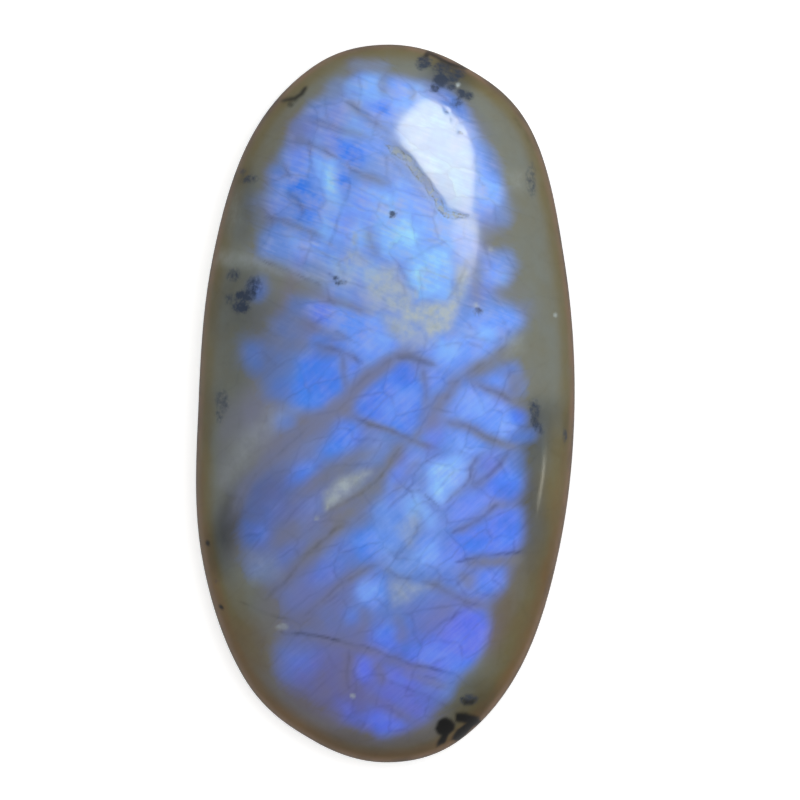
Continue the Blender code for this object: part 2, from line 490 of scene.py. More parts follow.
# The sheen. Light scattered between the feldspar's fine layers glows blue inside the stone. The
# cleavage cuts it into plates, each at its own brightness. Tone runs from deep azure at 0, by
# periwinkle, to pale sky at 1.
PLAIN_TONE = 0.5
SHEEN_PASSES = 14
VIOLET_SOFTNESS = 0.8
VIOLET_EDGE, VIOLET_FULL = 0.2, 0.9
SHEEN_REACHES = (
    # tone, strength, softness, corners: how far the sheen reaches behind its plates
    (0.20, 0.24, 0.6, ((-7.1, 3.2), (-6.0, 3.2), (-5.4, 4.3), (-4.4, 5.3), (-3.8, 4.4), (-3.8, 3.0),
                       (-4.6, 2.4), (-5.0, 1.6), (-5.2, 0.0), (-6.0, 0.4), (-7.0, 1.8))),
    (0.58, 0.70, 0.45, (
        (-1.0, 16.05), (0.2, 16.2), (1.4, 15.95), (2.3, 15.8), (3.2, 15.1), (4.0, 14.4), (4.6, 13.3),
        (5.2, 12.0), (5.7, 10.7), (5.7, 9.8), (5.3, 9.2), (4.7, 8.7), (4.9, 7.6), (6.0, 7.6), (6.5, 7.0),
        (6.1, 6.0), (5.4, 5.6), (5.8, 4.9), (6.7, 4.6), (6.7, 3.8), (6.2, 3.3), (5.4, 2.3), (3.8, 1.4),
        (2.2, 2.0), (0.9, 2.9), (0.2, 2.3), (-0.9, 1.5), (-2.6, 0.0), (-3.4, -0.4), (-4.6, -0.3),
        (-5.2, 0.4), (-5.1, 1.6), (-4.6, 2.4), (-3.7, 2.7), (-3.7, 3.5), (-3.2, 4.0), (-4.2, 4.6),
        (-4.2, 5.2), (-3.0, 5.5), (-3.2, 5.9), (-4.8, 6.6), (-6.2, 7.2), (-6.0, 8.6), (-5.4, 9.6),
        (-5.5, 11.6), (-5.0, 12.6), (-4.5, 13.8), (-3.5, 14.9), (-2.3, 15.4), (-1.8, 16.0))),
    (0.42, 0.56, 0.45, (
        (1.2, 2.4), (3.4, 1.4), (5.2, 1.6), (6.4, 1.9), (6.4, 1.2), (6.2, 0.3), (6.9, -0.6), (6.5, -1.8),
        (6.7, -3.0), (6.7, -4.4), (6.4, -4.9), (6.7, -6.0), (6.4, -7.4), (6.0, -8.4), (5.7, -9.4),
        (5.1, -10.0), (5.1, -11.2), (4.8, -12.3), (3.9, -13.5), (3.3, -14.2), (2.6, -15.2), (1.4, -16.1),
        (-0.2, -16.5), (-1.5, -16.0), (-1.4, -12.6), (-0.8, -10.6), (-1.8, -8.8), (-0.9, -6.2),
        (0.2, -3.4), (-1.6, -1.0), (-1.4, 0.2), (0.0, 1.4))),
    (0.38, 0.30, 0.60, (
        (-1.2, -0.6), (0.4, -2.2), (-0.4, -5.0), (-1.2, -8.8), (-1.2, -12.2), (-0.8, -14.8), (-2.2, -15.8),
        (-3.4, -14.8), (-5.3, -13.8), (-5.5, -12.4), (-4.8, -11.0), (-5.4, -9.0), (-6.9, -8.2),
        (-7.3, -6.6), (-7.0, -4.6), (-6.3, -3.6), (-5.0, -2.4), (-2.6, -0.6))),
)
SHEEN_PLATES = (
    # tone, strength, softness, corners
    # the upper end, from the left
    (0.62, 0.65, 0.5, ((-4.6, 13.2), (-3.8, 14.9), (-2.3, 15.2), (-1.9, 13.8), (-2.9, 13.0))),
    (0.66, 0.75, 0.3, ((-2.1, 15.8), (-1.2, 16.5), (1.9, 16.1), (1.2, 14.9), (0.4, 14.4), (-1.3, 14.9))),
    (0.72, 0.95, 0.3, ((-1.1, 16.3), (-0.2, 16.4), (-0.3, 15.2), (-1.2, 15.2))),
    (0.74, 1.00, 0.3, ((0.2, 16.2), (1.3, 16.0), (2.2, 15.3), (1.2, 14.9), (0.6, 14.6))),
    (0.45, 0.90, 0.3, ((-0.9, 14.9), (0.4, 15.0), (0.5, 14.2), (-0.6, 13.8), (-1.2, 14.2))),
    (0.62, 0.85, 0.3, ((-5.1, 12.5), (-3.8, 12.9), (-3.8, 11.2), (-4.9, 11.1))),
    (0.50, 0.65, 0.4, ((-5.8, 11.7), (-5.0, 11.9), (-4.6, 10.8), (-5.6, 10.8))),
    (0.66, 0.90, 0.3, ((-3.7, 12.9), (-3.0, 12.6), (-2.7, 11.4), (-2.9, 10.4), (-3.7, 11.2))),
    (0.92, 1.00, 0.25, ((-3.1, 12.1), (-2.5, 12.2), (-2.2, 10.2), (-2.3, 9.0), (-2.7, 9.2), (-3.0, 10.6))),
    (0.60, 0.70, 0.4, ((-6.2, 10.4), (-4.4, 10.6), (-4.0, 9.3), (-4.2, 8.6), (-6.3, 8.9))),
    (0.22, 1.00, 0.3, ((-4.2, 10.3), (-3.0, 10.6), (-2.8, 9.4), (-3.4, 8.9), (-4.2, 9.3))),
    (0.70, 1.00, 0.3, ((-5.3, 11.1), (-4.6, 10.9), (-4.4, 10.4), (-5.0, 10.4))),
    (0.60, 0.80, 0.3, ((-1.6, 14.2), (0.3, 13.4), (0.3, 12.7), (-0.8, 12.9), (-1.9, 13.5))),
    (0.50, 0.90, 0.3, ((-2.6, 13.6), (-1.2, 13.0), (0.0, 12.6), (-0.4, 12.3), (-1.7, 12.7), (-2.8, 13.2))),
    (0.62, 0.68, 0.3, ((-1.1, 12.2), (0.2, 12.3), (1.0, 11.6), (0.2, 11.0), (-1.0, 11.5))),
    (0.68, 0.95, 0.3, ((-1.7, 11.0), (-0.2, 10.7), (0.8, 11.2), (2.3, 9.6), (1.4, 8.9), (-2.0, 9.2))),
    (0.78, 1.00, 0.4, ((-0.9, 10.4), (0.0, 10.2), (-0.2, 9.4), (-1.3, 9.5))),
    (0.78, 1.00, 0.5, ((-0.2, 9.2), (2.7, 9.4), (3.2, 8.6), (3.4, 7.0), (1.0, 6.9), (-0.2, 7.6))),
    (1.00, 1.00, 0.4, ((1.0, 8.6), (1.8, 8.7), (1.6, 7.8), (1.0, 7.6))),
    (0.88, 1.00, 0.3, ((-0.1, 8.8), (0.9, 8.4), (0.8, 7.4), (0.1, 7.4))),
    # right of the bright reflection
    (0.20, 0.62, 0.25, ((2.4, 16.0), (3.3, 15.5), (4.2, 14.6), (3.9, 14.0), (2.9, 14.9))),
    (0.55, 0.85, 0.3, ((3.9, 14.3), (4.7, 13.1), (5.3, 11.6), (4.4, 11.2), (4.3, 13.0), (3.8, 14.2))),
    (0.68, 1.00, 0.3, ((4.9, 12.1), (5.6, 11.4), (5.9, 10.3), (5.5, 9.5), (4.7, 9.3), (4.6, 11.0))),
    (0.60, 0.55, 0.4, ((5.4, 9.3), (6.1, 9.8), (6.2, 9.0), (5.0, 8.4), (4.7, 8.9))),
    # below the upper end, from the left
    (0.58, 0.72, 0.4, ((-6.4, 8.3), (-4.8, 8.6), (-3.0, 8.3), (-2.8, 7.5), (-4.4, 7.0), (-6.3, 7.4))),
    (0.68, 0.95, 0.3, ((-4.9, 8.0), (-3.4, 8.2), (-2.8, 7.6), (-3.4, 7.2), (-4.6, 7.5))),
    (0.74, 1.00, 0.25, ((-4.2, 9.0), (-2.6, 8.7), (-2.4, 8.2), (-3.2, 8.4))),
    (0.62, 0.48, 0.3, ((-5.0, 7.0), (-3.1, 7.0), (-2.5, 6.4), (-2.7, 5.8), (-3.7, 6.1))),
    (0.80, 0.90, 0.25, ((-3.2, 7.1), (-2.5, 7.3), (-1.8, 6.7), (-2.4, 6.5))),
    (0.72, 0.95, 0.4, ((-2.3, 8.9), (-0.5, 9.0), (-0.6, 7.6), (-1.5, 7.7), (-2.4, 8.2))),
    (0.85, 0.80, 0.3, ((-1.8, 6.9), (-0.6, 6.9), (0.2, 6.3), (-0.6, 5.9), (-1.8, 6.2))),
    (0.66, 0.65, 0.3, ((-2.3, 5.7), (-0.9, 5.8), (-0.6, 4.7), (-2.0, 5.1))),
    (0.60, 1.00, 0.22, ((-3.9, 5.2), (-2.8, 5.0), (-0.4, 4.1), (0.1, 3.4), (0.9, 2.9), (0.2, 2.4),
                        (-0.8, 1.9), (-2.0, 3.1), (-3.2, 4.0), (-4.0, 4.5))),
    (0.25, 1.00, 0.3, ((-3.7, 5.0), (-3.0, 4.9), (-2.8, 4.2), (-3.4, 4.2))),
    (0.72, 1.00, 0.3, ((-1.0, 3.6), (-0.2, 3.7), (0.3, 3.1), (-0.3, 2.5), (-0.9, 2.8))),
    (0.05, 0.45, 0.35, ((-4.8, 5.4), (-4.0, 5.3), (-4.0, 4.6), (-4.5, 4.2))),
    (0.10, 0.40, 0.4, ((-5.6, 4.2), (-4.3, 4.1), (-4.0, 3.5), (-4.6, 3.2), (-5.4, 3.6))),
    (0.40, 1.00, 0.2, ((-3.7, 3.4), (-2.9, 3.2), (-2.3, 3.0), (-1.4, 2.2), (-2.2, 2.5), (-3.5, 2.9))),
    (0.25, 1.00, 0.4, ((-4.3, 2.2), (-2.4, 2.4), (-2.1, 1.2), (-2.1, 0.7), (-3.2, -0.1), (-4.6, -0.2),
                       (-4.6, 0.8))),
    (0.42, 1.00, 0.4, ((-4.3, 0.7), (-2.6, 0.9), (-2.3, 0.5), (-3.3, -0.2), (-4.4, -0.1))),
    (0.25, 0.42, 0.4, ((-5.7, 2.6), (-4.4, 2.5), (-4.5, 1.3), (-5.6, 1.5))),
    (0.05, 0.55, 0.4, ((-5.8, 1.2), (-4.7, 1.3), (-4.7, 0.3), (-5.8, 0.3))),
    (0.30, 0.50, 0.3, ((-7.0, 2.9), (-6.2, 3.0), (-6.1, 1.8), (-6.5, 1.4), (-7.0, 1.9))),
    (0.35, 0.95, 0.18, ((-1.9, 2.0), (-1.2, 2.0), (-1.5, 1.2), (-1.8, 1.3))),
    # the middle, right of the wide fracture
    (0.82, 1.00, 0.4, ((1.1, 7.2), (3.3, 7.6), (3.4, 5.6), (2.4, 5.0), (1.4, 5.6), (1.0, 6.6))),
    (0.88, 1.00, 0.3, ((2.4, 6.0), (3.2, 6.4), (3.3, 5.6), (2.7, 5.0))),
    (0.66, 0.72, 0.3, ((4.7, 7.4), (6.3, 7.6), (6.0, 6.0), (5.0, 5.8), (4.6, 6.6))),
    (0.66, 1.00, 0.3, ((5.1, 7.0), (5.9, 6.9), (5.8, 6.1), (5.1, 6.2))),
    (0.60, 0.58, 0.3, ((3.8, 5.6), (5.2, 5.3), (5.0, 4.6), (3.9, 4.3), (3.6, 4.8))),
    (0.60, 0.95, 0.35, ((4.2, 4.4), (5.4, 4.6), (6.4, 4.7), (6.8, 4.0), (6.0, 3.5), (4.0, 3.6))),
    (0.78, 1.00, 0.3, ((4.7, 3.8), (5.5, 3.8), (5.4, 3.3), (4.7, 3.3))),
    (0.55, 0.95, 0.3, ((2.1, 3.3), (4.3, 3.3), (5.4, 2.9), (5.3, 2.2), (4.0, 1.9), (3.0, 1.7),
                       (2.0, 2.2))),
    (0.76, 1.00, 0.3, ((2.5, 3.1), (3.8, 3.1), (3.7, 2.2), (2.8, 2.1), (2.3, 2.4))),
    (0.72, 1.00, 0.2, ((4.6, 2.5), (5.3, 2.4), (5.2, 2.2), (4.6, 2.2))),
    (0.50, 0.85, 0.3, ((2.0, 1.8), (3.3, 1.6), (3.2, 0.9), (2.8, 0.5), (2.1, 0.6))),
    (0.70, 0.95, 0.25, ((2.1, 1.5), (2.7, 1.4), (2.6, 0.9), (2.2, 0.9))),
    (0.36, 1.00, 0.35, ((0.2, 1.6), (1.5, 1.5), (1.9, 0.8), (1.8, -0.4), (1.4, -1.3), (0.7, -1.5),
                        (-0.2, -1.2), (-1.5, -0.3), (-1.5, 0.0), (-0.7, 0.9))),
    (0.05, 1.00, 0.3, ((0.5, 2.2), (1.2, 2.0), (1.4, 1.1), (0.7, 1.0))),
    (0.55, 1.00, 0.4, ((0.3, 0.6), (1.5, 0.6), (1.4, -0.7), (0.7, -1.3), (-0.4, -0.9), (-0.3, 0.0))),
    (0.28, 1.00, 0.3, ((-1.3, -0.1), (-0.4, 0.1), (-0.2, -0.7), (-0.9, -0.6))),
    (0.70, 1.00, 0.25, ((5.2, 1.3), (6.0, 1.5), (6.2, 1.0), (5.8, 0.7), (5.3, 0.9))),
    (0.45, 0.55, 0.3, ((5.4, 2.0), (6.7, 2.0), (6.7, 1.4), (6.2, 1.2), (5.6, 1.5))),
    (0.62, 0.90, 0.3, ((2.9, -0.1), (3.4, 0.9), (4.7, 1.0), (5.6, 0.3), (6.5, -0.5), (6.9, -0.9),
                       (6.2, -1.5), (5.2, -1.4), (4.2, -0.9), (2.8, -0.6))),
    (0.74, 1.00, 0.3, ((3.7, 0.7), (4.8, 0.7), (5.7, -0.1), (6.2, -1.0), (5.4, -1.2), (4.0, -0.7),
                       (3.5, 0.0))),
    (0.05, 1.00, 0.2, ((6.3, -0.3), (7.0, -0.5), (6.9, -0.9), (6.4, -0.9))),
    (0.72, 1.00, 0.2, ((4.9, -1.3), (6.2, -1.4), (6.0, -1.7), (5.4, -1.6))),
    (0.20, 0.60, 0.3, ((6.3, -1.5), (7.6, -1.2), (7.4, -1.8), (6.4, -2.0))),
    # the lower half, left of its middle
    (0.40, 1.00, 0.35, ((-2.4, -0.8), (-1.5, -0.9), (-1.1, -1.4), (-1.7, -2.2), (-2.9, -2.7), (-3.3, -2.3),
                        (-2.7, -1.6))),
    (0.55, 1.00, 0.3, ((-2.2, -1.0), (-1.6, -1.1), (-1.6, -1.8), (-2.1, -1.8))),
    (0.35, 0.80, 0.4, ((-5.1, -3.6), (-3.8, -2.8), (-2.9, -2.6), (-3.4, -3.4), (-4.4, -4.0),
                       (-5.0, -4.1))),
    (0.45, 0.95, 0.3, ((-4.5, -3.0), (-3.7, -3.0), (-3.7, -3.6), (-4.4, -3.7))),
    (0.32, 0.34, 0.5, ((-6.3, -3.5), (-5.3, -3.0), (-4.9, -4.0), (-5.6, -4.9), (-6.8, -5.2))),
    (0.45, 0.50, 0.4, ((-4.2, -4.5), (-3.1, -4.4), (-3.1, -5.2), (-4.0, -5.8))),
    (0.55, 0.62, 0.4, ((-0.9, -1.3), (0.4, -1.7), (0.4, -2.3), (-0.4, -2.9), (-1.6, -3.2), (-1.2, -2.4))),
    (0.00, 0.60, 0.3, ((-7.1, -5.9), (-6.3, -6.0), (-6.2, -6.8), (-7.0, -7.0))),
    (0.55, 0.75, 0.25, ((-6.5, -6.2), (-5.9, -6.0), (-5.8, -6.6), (-6.4, -7.0))),
    (0.45, 0.55, 0.3, ((-5.7, -5.9), (-5.0, -4.9), (-5.4, -5.0), (-6.0, -5.8))),
    (0.35, 0.60, 0.4, ((-5.0, -7.0), (-4.1, -6.9), (-4.5, -7.8), (-5.6, -8.1))),
    (0.40, 0.45, 0.4, ((-6.8, -8.0), (-5.9, -7.9), (-6.0, -8.6), (-6.8, -8.6))),
    (0.38, 0.66, 0.5, ((-2.9, -7.0), (-1.4, -6.0), (-0.6, -6.2), (-1.0, -7.8), (-2.6, -8.8), (-3.8, -8.9),
                       (-4.2, -8.3))),
    (0.45, 1.00, 0.4, ((-1.5, -6.6), (-0.4, -6.0), (0.2, -6.6), (-0.3, -7.6), (-1.2, -7.8))),
    (0.60, 0.85, 0.4, ((-0.2, -4.4), (0.6, -4.6), (0.9, -5.4), (0.2, -6.0), (-0.6, -5.8), (-0.9, -5.2))),
    (0.68, 1.00, 0.3, ((-1.3, -8.9), (-0.1, -8.6), (0.0, -9.6), (-0.5, -10.3), (-1.4, -9.9),
                       (-1.6, -9.4))),
    (0.55, 0.80, 0.3, ((-2.1, -10.3), (-1.3, -10.1), (-1.3, -10.9), (-1.9, -11.0))),
    (0.42, 0.48, 0.4, ((-5.4, -12.1), (-4.6, -11.9), (-3.2, -12.2), (-3.2, -13.4), (-4.4, -14.0),
                       (-5.4, -13.6))),
    (0.45, 0.70, 0.4, ((-4.9, -12.5), (-3.7, -12.5), (-3.6, -13.1), (-4.8, -13.3))),
    (0.35, 1.00, 0.25, ((-1.4, -12.7), (-0.9, -12.6), (-0.7, -13.6), (-1.1, -13.9), (-1.6, -13.5))),
    (0.40, 1.00, 0.3, ((-0.7, -11.4), (0.2, -10.9), (0.7, -11.5), (0.4, -12.3), (-0.6, -12.0))),
    (0.30, 0.75, 0.4, ((-2.4, -14.8), (-1.7, -14.9), (-1.1, -16.1), (-2.0, -15.9))),
    (0.45, 1.00, 0.35, ((-1.1, -15.6), (-0.2, -15.2), (1.0, -15.7), (1.0, -16.2), (-0.4, -16.5))),
    (0.38, 0.66, 0.4, ((-0.2, -14.2), (1.2, -14.4), (2.2, -15.0), (2.1, -15.7), (0.4, -15.5),
                       (-0.4, -15.0))),
    (0.45, 0.90, 0.3, ((0.2, -13.3), (1.2, -13.3), (1.8, -14.1), (0.8, -14.0), (0.2, -13.8))),
    # the lower half, right of its middle
    (0.55, 0.80, 0.3, ((1.3, -1.3), (2.6, -0.9), (3.4, -1.4), (3.3, -2.1), (2.4, -2.3), (1.1, -1.8))),
    (0.66, 0.95, 0.3, ((3.3, -1.2), (4.4, -1.4), (5.0, -2.0), (4.4, -2.7), (3.3, -2.3))),
    (0.64, 0.92, 0.4, ((1.0, -2.3), (2.0, -2.5), (1.9, -3.0), (1.2, -3.9), (0.2, -4.4), (0.1, -3.6))),
    (0.50, 0.70, 0.3, ((4.9, -2.3), (6.0, -2.4), (5.7, -2.9), (4.6, -3.6), (4.4, -3.0))),
    (0.80, 1.00, 0.22, ((2.1, -3.0), (3.1, -2.5), (4.2, -2.7), (4.2, -3.5), (3.2, -4.7), (2.7, -5.0),
                        (2.0, -4.4))),
    (0.86, 1.00, 0.3, ((2.9, -3.1), (3.7, -3.2), (3.6, -3.8), (2.9, -4.4), (2.4, -4.2))),
    (0.40, 0.95, 0.3, ((5.8, -2.8), (6.6, -2.8), (6.9, -4.2), (6.2, -4.8), (4.8, -4.7), (4.9, -4.1))),
    (0.10, 0.85, 0.3, ((5.5, -4.2), (6.6, -4.1), (6.5, -4.7), (5.6, -4.7))),
    (0.55, 0.90, 0.3, ((3.2, -5.0), (4.2, -4.3), (5.6, -4.8), (5.4, -5.3), (3.9, -6.0), (3.1, -6.2))),
    (0.36, 1.00, 0.35, ((3.2, -6.6), (4.6, -6.0), (5.9, -5.2), (6.7, -5.2), (6.7, -7.0), (5.8, -7.4),
                        (4.4, -7.5), (3.4, -7.3))),
    (0.42, 1.00, 0.3, ((4.3, -6.8), (5.9, -6.4), (6.2, -7.0), (5.0, -7.4), (4.2, -7.3))),
    (0.72, 0.90, 0.35, ((0.9, -4.9), (2.0, -4.8), (2.6, -5.4), (2.9, -6.3), (2.2, -6.6), (1.7, -5.6),
                        (0.9, -5.2))),
    (0.60, 0.85, 0.4, ((0.2, -5.6), (1.2, -5.5), (1.2, -6.6), (0.4, -7.6), (-0.4, -7.5), (-0.3, -6.4))),
    (0.62, 0.95, 0.4, ((1.9, -6.5), (2.9, -6.8), (2.9, -8.2), (1.9, -8.3), (1.4, -7.5))),
    (0.42, 1.00, 0.3, ((2.8, -7.2), (4.2, -7.6), (3.8, -7.9), (2.9, -8.2))),
    (0.68, 0.78, 0.3, ((0.2, -7.9), (1.4, -7.6), (1.9, -8.1), (1.0, -8.6), (0.3, -8.5))),
    (0.40, 0.65, 0.4, ((2.3, -8.3), (4.2, -8.1), (3.3, -9.1), (2.3, -8.8))),
    (0.42, 0.95, 0.3, ((4.9, -8.1), (5.8, -8.2), (6.0, -9.1), (5.0, -9.4), (4.7, -9.0))),
    (0.50, 0.80, 0.3, ((3.5, -8.9), (4.6, -8.8), (4.7, -9.5), (3.8, -9.3))),
    (0.38, 0.42, 0.4, ((0.3, -9.9), (1.8, -9.8), (1.2, -11.2), (0.6, -10.9))),
    (0.32, 1.00, 0.28, ((0.7, -12.0), (1.9, -11.8), (2.9, -10.9), (3.9, -10.3), (4.8, -10.3), (5.1, -11.1),
                        (4.7, -12.4), (3.8, -13.4), (2.4, -13.2), (0.9, -12.7))),
    (0.48, 1.00, 0.35, ((2.3, -11.6), (3.9, -11.4), (3.9, -12.6), (3.0, -12.9), (1.2, -12.4))),
    (0.55, 0.70, 0.3, ((2.0, -13.5), (3.6, -13.7), (3.2, -14.8), (1.9, -14.2))),
    # touches over the plates above: brighter cores, faint outliers, and a painted highlight under the
    # window's reflection
    (0.78, 0.90, 0.35, ((-3.2, 10.2), (-2.7, 10.5), (-2.2, 9.6), (-2.4, 8.4), (-3.1, 8.2), (-3.5, 9.2))),
    (0.94, 1.00, 0.35, ((1.8, 7.6), (3.2, 7.9), (3.5, 6.6), (3.2, 5.2), (1.6, 5.2), (1.1, 6.2))),
    (0.86, 1.00, 0.30, ((2.3, -3.0), (3.6, -3.0), (4.0, -3.7), (3.2, -4.6), (2.7, -5.0), (2.2, -4.3))),
    (0.30, 0.10, 0.40, ((-5.0, -10.3), (-3.5, -10.2), (-3.2, -11.2), (-4.8, -11.2))),
    (0.50, 0.12, 0.35, ((5.9, 5.4), (7.2, 5.0), (7.3, 4.3), (6.3, 4.6))),
    (0.50, 0.15, 0.35, ((-6.7, 10.4), (-5.9, 10.3), (-5.6, 8.9), (-6.5, 8.6))),
    (0.45, 0.55, 0.40, ((4.9, 13.0), (5.4, 12.6), (5.8, 11.6), (5.2, 11.4))),
    (0.40, 0.45, 0.35, ((6.3, 1.3), (7.1, 1.0), (7.0, 0.4), (6.3, 0.5))),
    (0.50, 0.30, 0.30, ((0.2, -1.9), (1.2, -1.9), (0.9, -3.0), (0.1, -3.2))),
    (0.50, 0.35, 0.30, ((2.1, -0.4), (2.8, -0.5), (2.8, -1.3), (2.1, -1.3))),
    (0.45, 0.50, 0.30, ((6.1, -2.2), (6.9, -2.4), (6.9, -3.8), (6.2, -3.2))),
    (0.10, 0.30, 0.50, ((-4.8, 4.8), (-3.9, 4.7), (-3.5, 3.6), (-4.4, 3.0), (-4.9, 3.6))),
    (0.60, 0.40, 0.35, ((-4.7, 14.0), (-3.9, 14.2), (-3.9, 13.0), (-4.8, 12.6))),
    (0.60, 0.35, 0.30, ((-3.0, 15.9), (-2.2, 16.2), (-2.1, 15.2), (-2.8, 15.0))),
    (0.60, 0.20, 0.25, ((-1.8, 17.1), (0.2, 17.1), (0.2, 16.6), (-1.8, 16.6))),
    (0.30, 0.70, 0.50, ((0.4, -10.6), (2.6, -10.4), (3.2, -11.6), (1.0, -12.2))),
    (0.40, 0.25, 0.45, ((-5.6, -8.8), (-4.6, -7.4), (-3.4, -7.0), (-3.6, -8.2), (-5.0, -9.6))),
    (0.30, 0.24, 0.50, ((-6.8, -4.6), (-5.2, -2.8), (-4.4, -3.0), (-5.6, -4.6), (-6.6, -5.8))),
    # A painted highlight: the sheen is weakened to a paler grey-blue in the outline of the window's
    # reflection, so that the reflection over it shows whiter
    (0.85, 0.50, 0.30, ((0.5, 13.6), (0.75, 14.2), (1.3, 14.8), (2.0, 15.2), (2.6, 15.0), (3.3, 14.5),
                        (3.9, 13.7), (4.25, 12.9), (4.4, 12.0), (4.4, 11.0), (4.35, 10.2), (4.3, 9.4),
                        (3.7, 9.5), (2.9, 9.9), (2.3, 10.9), (1.5, 12.0), (0.8, 13.1))),
)
SHEEN_SPOTS = (
    # tone, strength, x, y, across, along, turn: where the glow is deepest or clearest
    (0.00, 1.0, -1.75, 12.4, 0.38, 0.75, 70),
    (0.10, 1.0, -2.05, 11.1, 0.25, 0.45, 0),
    (0.00, 1.0, -4.3, 10.75, 0.45, 0.40, 0),
    (0.05, 1.0, -0.05, 14.7, 0.28, 0.22, 0),
    (0.10, 0.45, -6.2, 5.7, 0.4, 0.6, 0),
    (0.45, 0.7, 6.4, 1.6, 0.35, 0.2, 0),
    (0.35, 0.55, -5.0, -0.8, 0.55, 0.45, 0),
    (0.75, 0.90, 1.3, -5.0, 0.6, 0.8, 0),
    (0.70, 0.95, -2.3, 9.0, 0.4, 1.0, -10),
    (0.45, 0.95, 2.4, -12.3, 1.1, 0.4, 10),
    (0.12, 0.60, -3.0, 2.7, 0.6, 0.6, 0),
)
VIOLET_ZONES = (
    # strength, x, y, across, along, turn: where the glow turns from sky blue towards lavender
    (1.00, -1.2, -14.4, 5.0, 3.2, 0), (0.85, 4.0, -11.4, 2.6, 1.9, 0), (0.50, 5.0, -6.2, 2.2, 3.8, 0),
    (0.45, 5.6, -10.5, 1.2, 2.2, -10), (0.50, -5.2, -11.6, 1.6, 1.6, 0), (0.45, -4.0, -5.4, 2.8, 3.2, -35),
    (0.50, -3.4, -9.2, 2.4, 2.4, -35), (0.30, -0.6, 0.0, 3.2, 4.0, 0), (0.50, -3.2, 4.4, 1.2, 0.6, 60),
    (0.60, 6.7, -0.6, 0.4, 0.4, 0), (0.30, 4.8, 0.2, 2.2, 2.4, 0), (0.60, -4.0, 13.7, 0.9, 0.8, 0),
    (0.50, -2.6, 13.9, 1.4, 0.5, 70), (0.50, -4.4, 12.4, 0.5, 0.8, 0), (0.20, -5.6, 11.2, 0.4, 0.9, 20),
    (0.45, -1.9, 8.8, 0.45, 0.8, -10), (0.30, -1.0, 9.9, 0.8, 1.0, 0), (0.60, -4.6, 6.3, 1.6, 0.3, 70),
    (0.30, -1.2, 5.3, 0.9, 0.4, 65), (0.30, -5.2, 9.6, 0.9, 0.8, 0), (0.50, 4.7, 5.6, 0.7, 0.6, 0),
    (0.50, 5.2, 9.0, 0.5, 0.4, 0), (0.30, 5.0, 7.2, 0.6, 0.9, 0), (0.70, 2.3, -1.7, 1.1, 0.5, 80),
    (0.70, 5.2, -2.9, 0.7, 0.5, 0), (0.65, 0.9, -3.2, 0.7, 1.0, -30), (0.60, 1.8, -11.7, 1.5, 0.7, 10),
    (0.55, 4.1, -5.3, 1.0, 0.5, 0), (0.30, 0.3, -4.8, 0.8, 0.5, -40), (0.35, 2.4, 1.2, 0.6, 0.6, 0),
)
VIOLET_FREE = (
    # x, y, across, along, turn: the olive ground at the lower right, which has no violet
    (4.8, -14.6, 1.4, 2.4, -35), (6.9, -11.5, 0.8, 3.5, -25),
)
plates = (((strength, tone), patch_mark(corners, softness))
          for tone, strength, softness, corners in SHEEN_REACHES + SHEEN_PLATES)
glows = (((strength, tone), spot_mark(*oval)) for tone, strength, *oval in SHEEN_SPOTS)
sheen, sheen_tone = laid_over((0.0, PLAIN_TONE), (*plates, *glows))
store_mark("sheen", softened(sheen, SHEEN_PASSES) * on_crown)
store_mark("sheen_tone", softened(sheen_tone, SHEEN_PASSES))
violet = strongest(spot_mark(*oval, softness=VIOLET_SOFTNESS) * strength
                   for strength, *oval in VIOLET_ZONES)
for oval in VIOLET_FREE:
    violet *= 1 - spot_mark(*oval)
within_edge = ease(rising(from_edge, VIOLET_EDGE, VIOLET_FULL))
store_mark("violet", softened(violet, SHEEN_PASSES) * within_edge)


